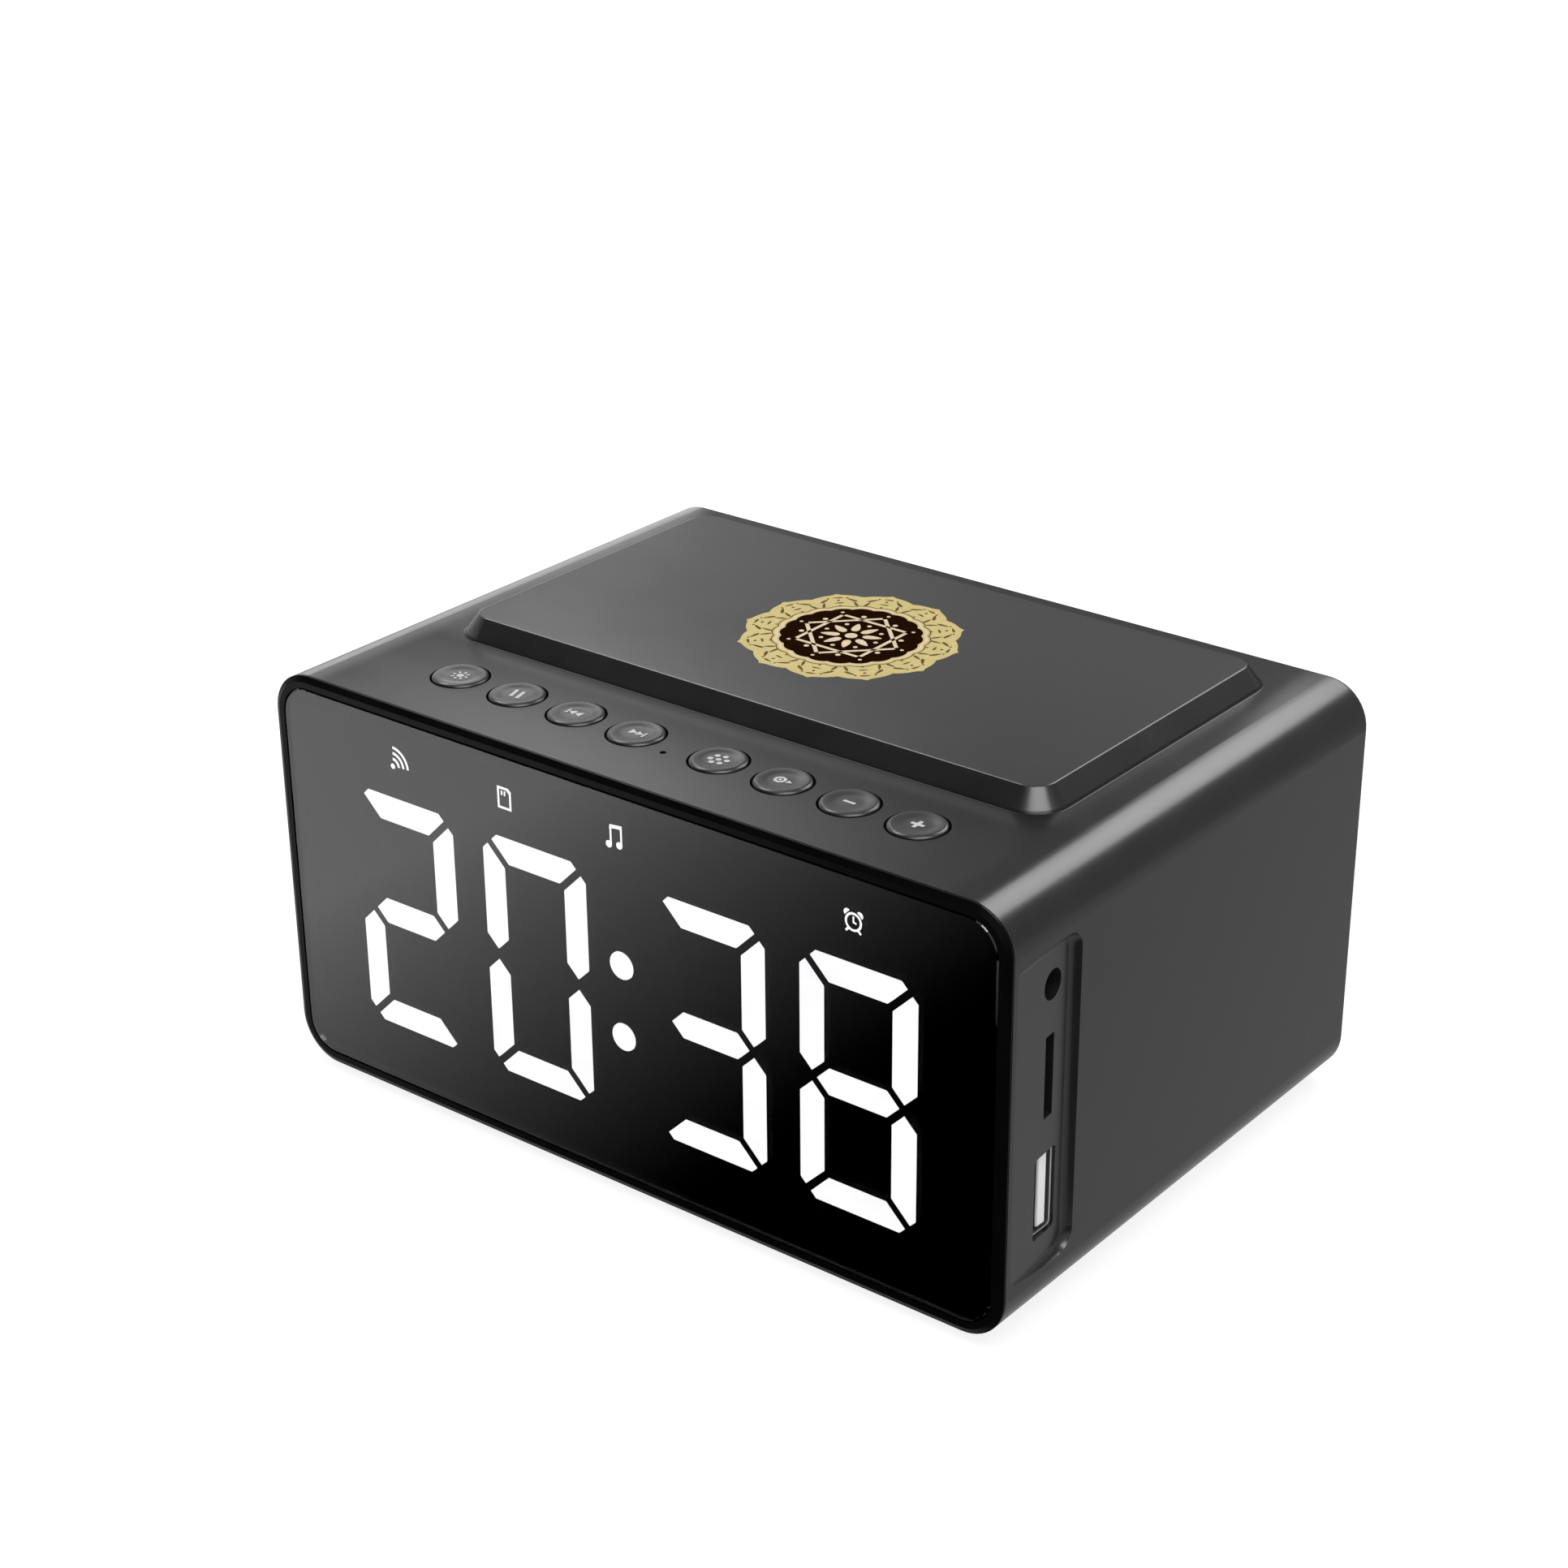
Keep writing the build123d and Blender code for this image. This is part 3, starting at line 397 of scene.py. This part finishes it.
inkLook = {
    "legend_ink": dict(colour=(0.42, 0.42, 0.42), shade=(0.52, 0.52, 0.52), roughness=(0.42, 0.55),
                       specular=0.2),
    "gold_ink": dict(colour=(0.46, 0.36, 0.12), shade=(0.54, 0.44, 0.17), roughness=(0.45, 0.60),
                     specular=0.2),
    "brown_ink": dict(colour=(0.010, 0.0030, 0.0010), shade=(0.015, 0.0050, 0.0020), roughness=(0.60, 0.75),
                      specular=0.0),
    "olive_ink": dict(colour=(0.075, 0.050, 0.012), shade=(0.110, 0.075, 0.020), roughness=(0.60, 0.75),
                      specular=0.05),
    "cream_ink": dict(colour=(0.56, 0.44, 0.27), shade=(0.66, 0.54, 0.36), roughness=(0.45, 0.60),
                      specular=0.2),
}
printLook = dict(cloud=1.2 * mm, grain=0.15 * mm, depth=0.003 * mm)


def inkFinish(name, look):
    finish, shader = newFinish(name)
    drift = speckle(finish, printLook["cloud"], detail=3.0)
    join(finish, colourBetween(finish, drift, look["colour"], look["shade"]), shader.inputs["Base Color"])
    join(finish, between(finish, drift, *look["roughness"]), shader.inputs["Roughness"])
    shader.inputs["Specular IOR Level"].default_value = look["specular"]
    roughen(finish, shader, speckle(finish, printLook["grain"]), printLook["depth"])
    return finish


finishes.update({name: inkFinish(name, look) for name, look in inkLook.items()})


# flat shapes, drawn in millimetres on a sheet and then given a thickness

def addDisc(flat, x, y, radius, steps=24):
    bmesh.ops.create_circle(flat, cap_ends=True, radius=radius, segments=steps,
                            matrix=Matrix.Translation((x, y, 0)))


def addBar(flat, x, y, length, thick, turn=0):
    place = Matrix.Translation((x, y, 0)) @ Matrix.Rotation(math.radians(turn), 4, "Z")
    bmesh.ops.create_grid(flat, x_segments=1, y_segments=1, size=1,
                          matrix=place @ Matrix.Diagonal((length / 2, thick / 2, 1, 1)))


def addArc(flat, x, y, radius, thick, start=0, sweep=360, steps=24):
    along = Vector((math.cos(math.radians(start)), math.sin(math.radians(start)), 0))
    ends = [flat.verts.new(Vector((x, y, 0)) + along * (radius + side * thick / 2)) for side in (-1, 1)]
    edge = flat.edges.new(ends)
    bmesh.ops.spin(flat, geom=[*ends, edge], cent=(x, y, 0), axis=(0, 0, 1), angle=math.radians(sweep),
                   steps=steps, use_merge=sweep == 360)


def addPatch(flat, *corners):
    flat.faces.new([flat.verts.new((x, y, 0)) for x, y in corners])


def repeatRound(flat, motif, count, start=0):
    for step in range(count):
        known = set(flat.verts)
        motif(flat)
        fresh = [vert for vert in flat.verts if vert not in known]
        turn = Matrix.Rotation(math.radians(start + 360 * step / count), 3, "Z")
        bmesh.ops.rotate(flat, cent=(0, 0, 0), matrix=turn, verts=fresh)


def finishFlat(flat, name, thick, place, finish, body):
    for face in flat.faces:
        face.normal_update()
        if face.normal.z < 0:
            face.normal_flip()
    walls = bmesh.ops.extrude_face_region(flat, geom=flat.faces[:])
    raised = [item for item in walls["geom"] if isinstance(item, bmesh.types.BMVert)]
    bmesh.ops.translate(flat, verts=raised, vec=(0, 0, thick))
    bmesh.ops.recalc_face_normals(flat, faces=flat.faces[:])
    bmesh.ops.transform(flat, matrix=place @ Matrix.Scale(mm, 4), verts=flat.verts[:])
    addPiece(flat, name, finishes[finish], body)


# legends on the button caps, one pictogram each, in millimetres and degrees

legendLook = dict(sink=0.24, thick=0.07)

dimmerMark = dict(middle=0.55, rays=8, rayAt=1.12, ray=(0.56, 0.34))


def dimmerLegend(flat):
    addDisc(flat, 0, 0, dimmerMark["middle"])
    repeatRound(flat, lambda f: addBar(f, dimmerMark["rayAt"], 0, *dimmerMark["ray"]), dimmerMark["rays"])


modeMark = dict(barAt=0.62, bar=(2.4, 0.56), turn=105)


def modeLegend(flat):
    for side in (-1, 1):
        addBar(flat, side * modeMark["barAt"], 0, *modeMark["bar"], modeMark["turn"])


skipMark = dict(heads=((0.15, -1.05, 0.75), (1.25, 0.15, 0.7)), barAt=1.45, bar=(0.34, 1.4))


def skipLegend(flat, way):
    # two arrowheads, each with its tip, its foot and half its width, and a bar
    for tip, foot, half in skipMark["heads"]:
        addPatch(flat, (way * tip, 0), (way * foot, -way * half), (way * foot, way * half))
    addBar(flat, way * skipMark["barAt"], 0, *skipMark["bar"])


def previousLegend(flat):
    skipLegend(flat, -1)


def nextLegend(flat):
    skipLegend(flat, 1)


lampMark = dict(dot=0.42, dots=6, dotAt=1.25, start=15)


def lampLegend(flat):
    addDisc(flat, 0, 0, lampMark["dot"], steps=16)
    repeatRound(flat, lambda f: addDisc(f, lampMark["dotAt"], 0, lampMark["dot"], steps=16), lampMark["dots"],
                lampMark["start"])


setMark = dict(dialAt=-0.45, dial=0.72, stroke=0.44, hub=0.26, arrow=((1.55, 0), (0.75, 0.45), (0.75, -0.45)))


def setLegend(flat):
    addArc(flat, setMark["dialAt"], 0, setMark["dial"], setMark["stroke"])
    addDisc(flat, setMark["dialAt"], 0, setMark["hub"], steps=16)
    addPatch(flat, *setMark["arrow"])


minusMark = dict(bar=(1.9, 0.5))
plusMark = dict(bar=(2.1, 0.56), arm=(0.56, 0.77), armAt=0.665)


def minusLegend(flat):
    addBar(flat, 0, 0, *minusMark["bar"])


def plusLegend(flat):
    addBar(flat, 0, 0, *plusMark["bar"])
    for side in (-1, 1):
        addBar(flat, 0, side * plusMark["armAt"], *plusMark["arm"])


legends = {"dimmer": dimmerLegend, "mode": modeLegend, "previous": previousLegend, "next": nextLegend,
           "lamp": lampLegend, "set": setLegend, "minus": minusLegend, "plus": plusLegend}

for name, draw in legends.items():
    low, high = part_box("button_" + name)
    spot = Vector(((low.x + high.x) / 2, (low.y + high.y) / 2, high.z - legendLook["sink"] * mm))
    flat = bmesh.new()
    draw(flat)
    finishFlat(flat, "legend_" + name, legendLook["thick"], Matrix.Translation(spot), "legend_ink",
               name + "_key")
print("legends printed on", len(legends), "buttons")


# lit pictograms behind the lens, in millimetres and degrees; a bar is its x, y, length, thickness and turn

iconLook = dict(height=57.25, thick=0.05, proud=0.01)

waveMark = dict(corner=(-1.1, -1.1), dot=0.42, rings=(1.2, 2.1, 3.0), stroke=0.42, start=3, sweep=84)


def waveIcon(flat):
    addDisc(flat, *waveMark["corner"], waveMark["dot"], steps=20)
    for radius in waveMark["rings"]:
        addArc(flat, *waveMark["corner"], radius, waveMark["stroke"], waveMark["start"], waveMark["sweep"],
               steps=14)


cardMark = dict(frame=((-1.12, 0, 0.36, 3.4), (1.12, -0.25, 0.36, 2.9), (0, -1.52, 1.88, 0.36),
                       (-0.25, 1.52, 1.38, 0.36)),
                corner=((0.44, 1.7), (0.44, 1.34), (0.94, 0.84), (1.3, 1.2), (0.8, 1.7)),
                contacts=((-0.45, 0.75, 0.28, 0.7), (0.1, 0.75, 0.28, 0.7)))


def cardIcon(flat):
    for bar in cardMark["frame"]:
        addBar(flat, *bar)
    addPatch(flat, *cardMark["corner"])
    for bar in cardMark["contacts"]:
        addBar(flat, *bar)


noteMark = dict(stems=(-1.0, 0.9), slope=0.12, headAt=(-0.28, -1.2), head=0.55, stemAt=(0.1, 0.15),
                stem=(0.32, 2.6), beam=((-1.06, 1.2), (-1.06, 1.75), (1.16, 2.0), (1.16, 1.45)))


def noteIcon(flat):
    headX, headY = noteMark["headAt"]
    stemX, stemY = noteMark["stemAt"]
    for x in noteMark["stems"]:
        rise = noteMark["slope"] * x
        addDisc(flat, x + headX, headY + rise, noteMark["head"], steps=20)
        addBar(flat, x + stemX, stemY + rise, *noteMark["stem"])
    addPatch(flat, *noteMark["beam"])


alarmMark = dict(dialAt=(0, -0.15), dial=1.22, stroke=0.34, bellAt=1.02, bell=(0.32, 0.5), footAt=(1.0, -1.42),
                 foot=(0.7, 0.34), hands=((0.0, 0.2, 0.26, 0.95, 0), (0.26, -0.24, 0.52, 0.26, -20)))


def alarmIcon(flat):
    footX, footY = alarmMark["footAt"]
    addArc(flat, *alarmMark["dialAt"], alarmMark["dial"], alarmMark["stroke"], steps=32)
    for hand in alarmMark["hands"]:
        addBar(flat, *hand)
    for side in (-1, 1):
        addArc(flat, side * alarmMark["bellAt"], alarmMark["bellAt"], *alarmMark["bell"], -45 * side, 180,
               steps=10)
        addBar(flat, side * footX, footY, *alarmMark["foot"], -45 * side)


# each pictogram with its place across the display
icons = {"wave": (waveIcon, -41.5), "card": (cardIcon, -20.7), "note": (noteIcon, 0.0),
         "alarm": (alarmIcon, 40.8)}

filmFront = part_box("diffuser_film")[0].y + gapLook["width"]
sunk = iconLook["thick"] - iconLook["proud"]
for name, (draw, x) in icons.items():
    flat = bmesh.new()
    draw(flat)
    spot = Matrix.Translation((x * mm, filmFront + sunk * mm, iconLook["height"] * mm))
    finishFlat(flat, "icon_" + name, iconLook["thick"], spot @ Matrix.Rotation(math.radians(90), 4, "X"),
               "lit_segment_resin", "clock_body")
print("pictograms lit behind the lens")


# printed rosette on the charging platform, in millimetres and degrees

rosetteLook = dict(centre=(-0.8, 9.1), lobes=12, tip=16.9, valley=15.5, point=0.35, disc=10.3, waves=20,
                   wave=0.42, rim=(11.35, 0.2), outline=(10.6, 0.42), thick=0.02, sink=0.01, layer=0.012)


def waveDisc(flat, radius, wave, lobes, point=0.0, steps=12):
    # disc with round lobes of height wave; point is the share of that height in a tip on each crown
    rim = bmesh.ops.create_circle(flat, cap_ends=True, radius=radius, segments=lobes * steps)["verts"]
    for vert in rim:
        across = abs(2 * (math.atan2(vert.co.y, vert.co.x) * lobes / (2 * math.pi) % 1.0) - 1)
        rise = (1 - across ** 2) * (1 - point) + point * max(0.0, 1 - 5 * across)
        vert.co *= (radius + wave * rise) / radius


def goldSheet(flat):
    height = rosetteLook["tip"] - rosetteLook["valley"]
    waveDisc(flat, rosetteLook["valley"], height, rosetteLook["lobes"], rosetteLook["point"])


def leafMotif(flat, radius, size, turn, slim):
    leaf = bmesh.ops.create_circle(flat, cap_ends=True, radius=1, segments=10)["verts"]
    for vert in leaf:
        vert.co.y *= slim * (1 - 0.45 * vert.co.x)      # blunt foot and narrow tip
    place = Matrix.Translation((radius, 0, 0)) @ Matrix.Rotation(math.radians(turn), 4, "Z")
    bmesh.ops.transform(flat, matrix=place @ Matrix.Scale(size, 4), verts=leaf)


# leaves have a radius, size, turn and start, buds a radius, size and start
borderLook = dict(count=12, slim=0.24,
                  leaves=((15.3, 0.85, 90, 15), (14.3, 1.05, 50, 6.5), (14.3, 1.05, -50, -6.5),
                          (13.2, 0.75, 90, 15), (12.7, 0.95, 20, 4), (12.7, 0.95, -20, -4)),
                  buds=((14.3, 0.26, 15), (15.7, 0.22, 0), (12.0, 0.22, 15), (15.2, 0.2, 9.5),
                        (15.2, 0.2, -9.5)))


def olivePrint(flat):
    count, slim = borderLook["count"], borderLook["slim"]
    for radius, size, turn, start in borderLook["leaves"]:
        repeatRound(flat, lambda f: leafMotif(f, radius, size, turn, slim), count, start)
    for radius, size, start in borderLook["buds"]:
        repeatRound(flat, lambda f: addDisc(f, radius, 0, size, steps=8), count, start)


def brownPrint(flat):
    waveDisc(flat, rosetteLook["disc"], rosetteLook["wave"], rosetteLook["waves"], steps=8)


def waveRing(flat, radius, thick):
    # thin line that follows the disc's waves
    for size in (radius + thick, radius):
        waveDisc(flat, size, rosetteLook["wave"], rosetteLook["waves"], steps=8)
    bmesh.ops.delete(flat, geom=flat.faces[:], context="FACES_ONLY")
    bmesh.ops.bridge_loops(flat, edges=flat.edges[:])


def oliveLine(flat):
    waveRing(flat, *rosetteLook["rim"])


def creamLine(flat):
    waveRing(flat, *rosetteLook["outline"])


# two interlaced squares, a ring of petals, and rings of dots with a radius, size and start
starLook = dict(count=8, side=5.9, stroke=0.6, petalAt=3.2, petal=1.5, slim=0.42, petalStart=22.5, middle=0.95,
                dots=((4.5, 0.36, 0), (7.6, 0.42, 22.5), (9.3, 0.3, 0)))


def creamStar(flat):
    side, stroke = starLook["side"], starLook["stroke"]
    for turn in (0, 45):
        repeatRound(flat, lambda f: addBar(f, side, 0, stroke, 2 * side + stroke), 4, turn)
    repeatRound(flat, lambda f: leafMotif(f, starLook["petalAt"], starLook["petal"], 0, starLook["slim"]),
                starLook["count"], starLook["petalStart"])
    for radius, size, start in starLook["dots"]:
        repeatRound(flat, lambda f: addDisc(f, radius, 0, size, steps=10), starLook["count"], start)
    addDisc(flat, 0, 0, starLook["middle"], steps=16)


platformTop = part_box("main_housing")[1].z
spot = Vector((rosetteLook["centre"][0] * mm, rosetteLook["centre"][1] * mm, platformTop))
prints = (("rosette_gold", goldSheet, "gold_ink", 0), ("rosette_leaves", olivePrint, "olive_ink", 1),
          ("rosette_disc", brownPrint, "brown_ink", 1), ("rosette_rim", oliveLine, "olive_ink", 1),
          ("rosette_outline", creamLine, "cream_ink", 2), ("rosette_lines", creamStar, "cream_ink", 2))
for name, draw, ink, level in prints:
    flat = bmesh.new()
    draw(flat)
    rise = Vector((0, 0, (level * rosetteLook["layer"] - rosetteLook["sink"]) * mm))
    finishFlat(flat, name, rosetteLook["thick"], Matrix.Translation(spot + rise), ink, "clock_body")
print("rosette printed on the platform")


# studio: floor, reflection cards, lamps, world and camera

floorLook = dict(size=6.0, colour=(0.9, 0.9, 0.9), glow=0.70, shine=1.21, bright=1.66, brightAt=-103 * mm,
                 darkAt=8 * mm, curve=1.6, beside=0.6, frontEdge=-47 * mm, reach=(0.35, 0.75))


def floorFinish():
    # white to the camera, with the shadow kept; mirrors see a pale sweep that darkens to the right in front
    finish, shader = newFinish("floor")
    finish.node_tree.nodes.remove(shader)
    path = addNode(finish, "LightPath").outputs
    axes = objectAxes(finish)
    sweep = between(finish, axes["X"], 0.0, 1.0, floorLook["darkAt"], floorLook["brightAt"])
    curved = calculate(finish, "POWER", sweep, floorLook["curve"])
    sheet = calculate(finish, "MULTIPLY", curved, floorLook["bright"])
    inFront = calculate(finish, "LESS_THAN", axes["Y"], floorLook["frontEdge"])
    distance = addNode(finish, "VectorMath", operation="LENGTH")
    join(finish, objectPoint(finish), distance.inputs[0])
    near = between(finish, distance.outputs["Value"], 1.0, 0.0, *floorLook["reach"])
    share = calculate(finish, "MULTIPLY", inFront, near)
    plain = calculate(finish, "MULTIPLY", calculate(finish, "SUBTRACT", 1.0, share), floorLook["beside"])
    mirrored = calculate(finish, "ADD", calculate(finish, "MULTIPLY", sheet, share), plain)
    mirrorLight = addNode(finish, "Emission")
    join(finish, mirrored, mirrorLight.inputs["Strength"])
    cameraLight = addNode(finish, "Emission", {"Strength": floorLook["shine"]})
    surface = addNode(finish, "BsdfDiffuse", {"Color": (*floorLook["colour"], 1)})
    glow = calculate(finish, "MULTIPLY", path["Is Camera Ray"], floorLook["glow"])
    seen = calculate(finish, "MAXIMUM", path["Is Glossy Ray"], path["Is Transmission Ray"])
    both = blend(finish, seen, blend(finish, glow, surface, cameraLight), mirrorLight)
    join(finish, both.outputs[0], finish.node_tree.nodes["Material Output"].inputs["Surface"])
    return finish


def stagePlane(name, corners, finish):
    mesh = bpy.data.meshes.new(name)
    mesh.from_pydata(corners, [], [(0, 1, 2, 3)])
    mesh.materials.append(finish)
    plane = bpy.data.objects.new(name, mesh)
    scene.collection.objects.link(plane)
    return plane


half = floorLook["size"] / 2
stagePlane("floor", [(-half, -half, 0), (half, -half, 0), (half, half, 0), (-half, half, 0)], floorFinish())

# a lamp either lights the object, is mirrored in it, or both; azimuth 0 is behind the clock and 90 to its right
lampLook = {
    "rearBox": dict(azimuth=-12, elevation=44, distance=0.9, size=(0.46, 0.24), radiance=9.0, mirrored=False),
    "leftBox": dict(azimuth=-60, elevation=20, distance=1.0, size=(0.50, 0.40), radiance=2.6, mirrored=False),
    "topBox": dict(azimuth=118, elevation=64, distance=1.0, size=(0.40, 0.40), radiance=5.0),
    "highBox": dict(azimuth=-80, elevation=55, distance=0.9, size=(0.80, 0.30), radiance=11.0, lights=False),
    "coneBox": dict(azimuth=126, elevation=47, distance=0.9, size=(0.85, 0.30), radiance=10.0, lights=False),
}
lampTarget = Vector((0, 0, 0.035))      # middle of the clock


def aimedPlace(azimuth, elevation, distance):
    turn, lift = math.radians(azimuth), math.radians(elevation)
    way = Vector((math.sin(turn) * math.cos(lift), math.cos(turn) * math.cos(lift), math.sin(lift)))
    return Matrix.Translation(lampTarget + way * distance) @ way.to_track_quat("Z", "Y").to_matrix().to_4x4()


for name, look in lampLook.items():
    lamp = bpy.data.lights.new(name, "AREA")
    lamp.shape = "RECTANGLE"
    lamp.size, lamp.size_y = look["size"]
    lamp.energy = look["radiance"] * math.pi * look["size"][0] * look["size"][1]
    box = bpy.data.objects.new(name, lamp)
    box.matrix_world = aimedPlace(look["azimuth"], look["elevation"], look["distance"])
    box.visible_glossy = look.get("mirrored", True)
    box.visible_diffuse = look.get("lights", True)
    scene.collection.objects.link(box)

# upright cards that only reflections see: corners in millimetres across and up, strengths at the foot and head
# of each side, blended across the sweep and up the fade
cardLook = {
    "cardRear": dict(y=120, corners=((-176, 97), (12, 97), (2, 150), (-178, 150)), sweep=(-115, -55),
                     fade=(112, 150), left=(1.04, 0.12), right=(0.66, 0.45)),
    "cardUpper": dict(y=120, corners=((-178, 150), (2, 150), (-16, 250), (-330, 250)), sweep=(-150, -60),
                      fade=(150, 172), left=(1.1, 3.6), right=(0.36, 0.36)),
    "cardGleam": dict(y=118, corners=((15, 108), (80, 108), (200, 270), (22, 270)), sweep=(10, 70),
                      fade=(108, 270), left=(3.3, 5.6), right=(6.5, 10.0)),
    "cardLeft": dict(y=119, corners=((-400, 25), (-125, 25), (-125, 92), (-400, 185)), fade=(25, 97),
                     left=(0.6, 2.5), right=(0.6, 2.5)),
    "cardLow": dict(y=121, corners=((-125, 2), (60, 2), (60, 97), (-125, 97)), left=(0.08, 0.08),
                    right=(0.08, 0.08)),
    "cardDim": dict(y=122, corners=((-420, 25), (330, 25), (330, 480), (-420, 480)), sweep=(0, 100),
                    left=(0.15, 0.15), right=(0.42, 0.40)),
    "cardFront": dict(y=-300, corners=((-600, 120), (0, 120), (0, 600), (-600, 600)), left=(0.02, 0.02),
                      right=(0.02, 0.02)),
}


def cardFinish(name, look):
    finish, shader = newFinish(name)
    finish.node_tree.nodes.remove(shader)
    axes = objectAxes(finish)
    fade = [z * mm for z in look.get("fade", (0, 500))]
    sweep = [x * mm for x in look.get("sweep", (-500, 500))]
    left, right = (between(finish, axes["Z"], *look[side], *fade) for side in ("left", "right"))
    across = between(finish, axes["X"], 0.0, 1.0, *sweep)
    step = calculate(finish, "MULTIPLY", calculate(finish, "SUBTRACT", right, left), across)
    light = addNode(finish, "Emission")
    join(finish, calculate(finish, "ADD", left, step), light.inputs["Strength"])
    join(finish, light.outputs[0], finish.node_tree.nodes["Material Output"].inputs["Surface"])
    return finish


for name, look in cardLook.items():
    corners = [Vector((x, look["y"], z)) * mm for x, z in look["corners"]]
    card = stagePlane(name, corners, cardFinish(name, look))
    for kind in ("camera", "diffuse", "transmission", "volume_scatter", "shadow"):
        setattr(card, "visible_" + kind, False)

worldLook = dict(colour=(1, 1, 1), plain=0.62, seen=1.0)

world = bpy.data.worlds.new("studio")
scene.world = world
world.use_nodes = True
plainSky = world.node_tree.nodes["Background"]
plainSky.inputs["Color"].default_value = (*worldLook["colour"], 1)
plainSky.inputs["Strength"].default_value = worldLook["plain"]
seenSky = addNode(world, "Background", {"Color": (*worldLook["colour"], 1), "Strength": worldLook["seen"]})
path = addNode(world, "LightPath").outputs
mirrors = calculate(world, "MAXIMUM", path["Is Glossy Ray"], path["Is Transmission Ray"])
sky = blend(world, calculate(world, "MAXIMUM", path["Is Camera Ray"], mirrors), plainSky, seenSky)
join(world, sky.outputs[0], world.node_tree.nodes["World Output"].inputs["Surface"])

cameraLook = dict(place=(0.25619, -0.32973, 0.24293), tilt=63.76, roll=-0.06, azimuth=37.49, lens=71.25,
                  sensor=36.0, shift=(-0.0330, 0.0443), nearest=0.01)

lensData = bpy.data.cameras.new("camera")
lensData.lens = cameraLook["lens"]
lensData.sensor_width = cameraLook["sensor"]
lensData.shift_x, lensData.shift_y = cameraLook["shift"]
lensData.clip_start = cameraLook["nearest"]
camera = bpy.data.objects.new("camera", lensData)
aim = Matrix.Identity(4)
for angle, axis in (("azimuth", "Z"), ("tilt", "X"), ("roll", "Z")):
    aim = aim @ Matrix.Rotation(math.radians(cameraLook[angle]), 4, axis)
camera.matrix_world = Matrix.Translation(cameraLook["place"]) @ aim
scene.collection.objects.link(camera)
scene.camera = camera
scene.view_settings.view_transform = "Standard"
print("studio and camera set")
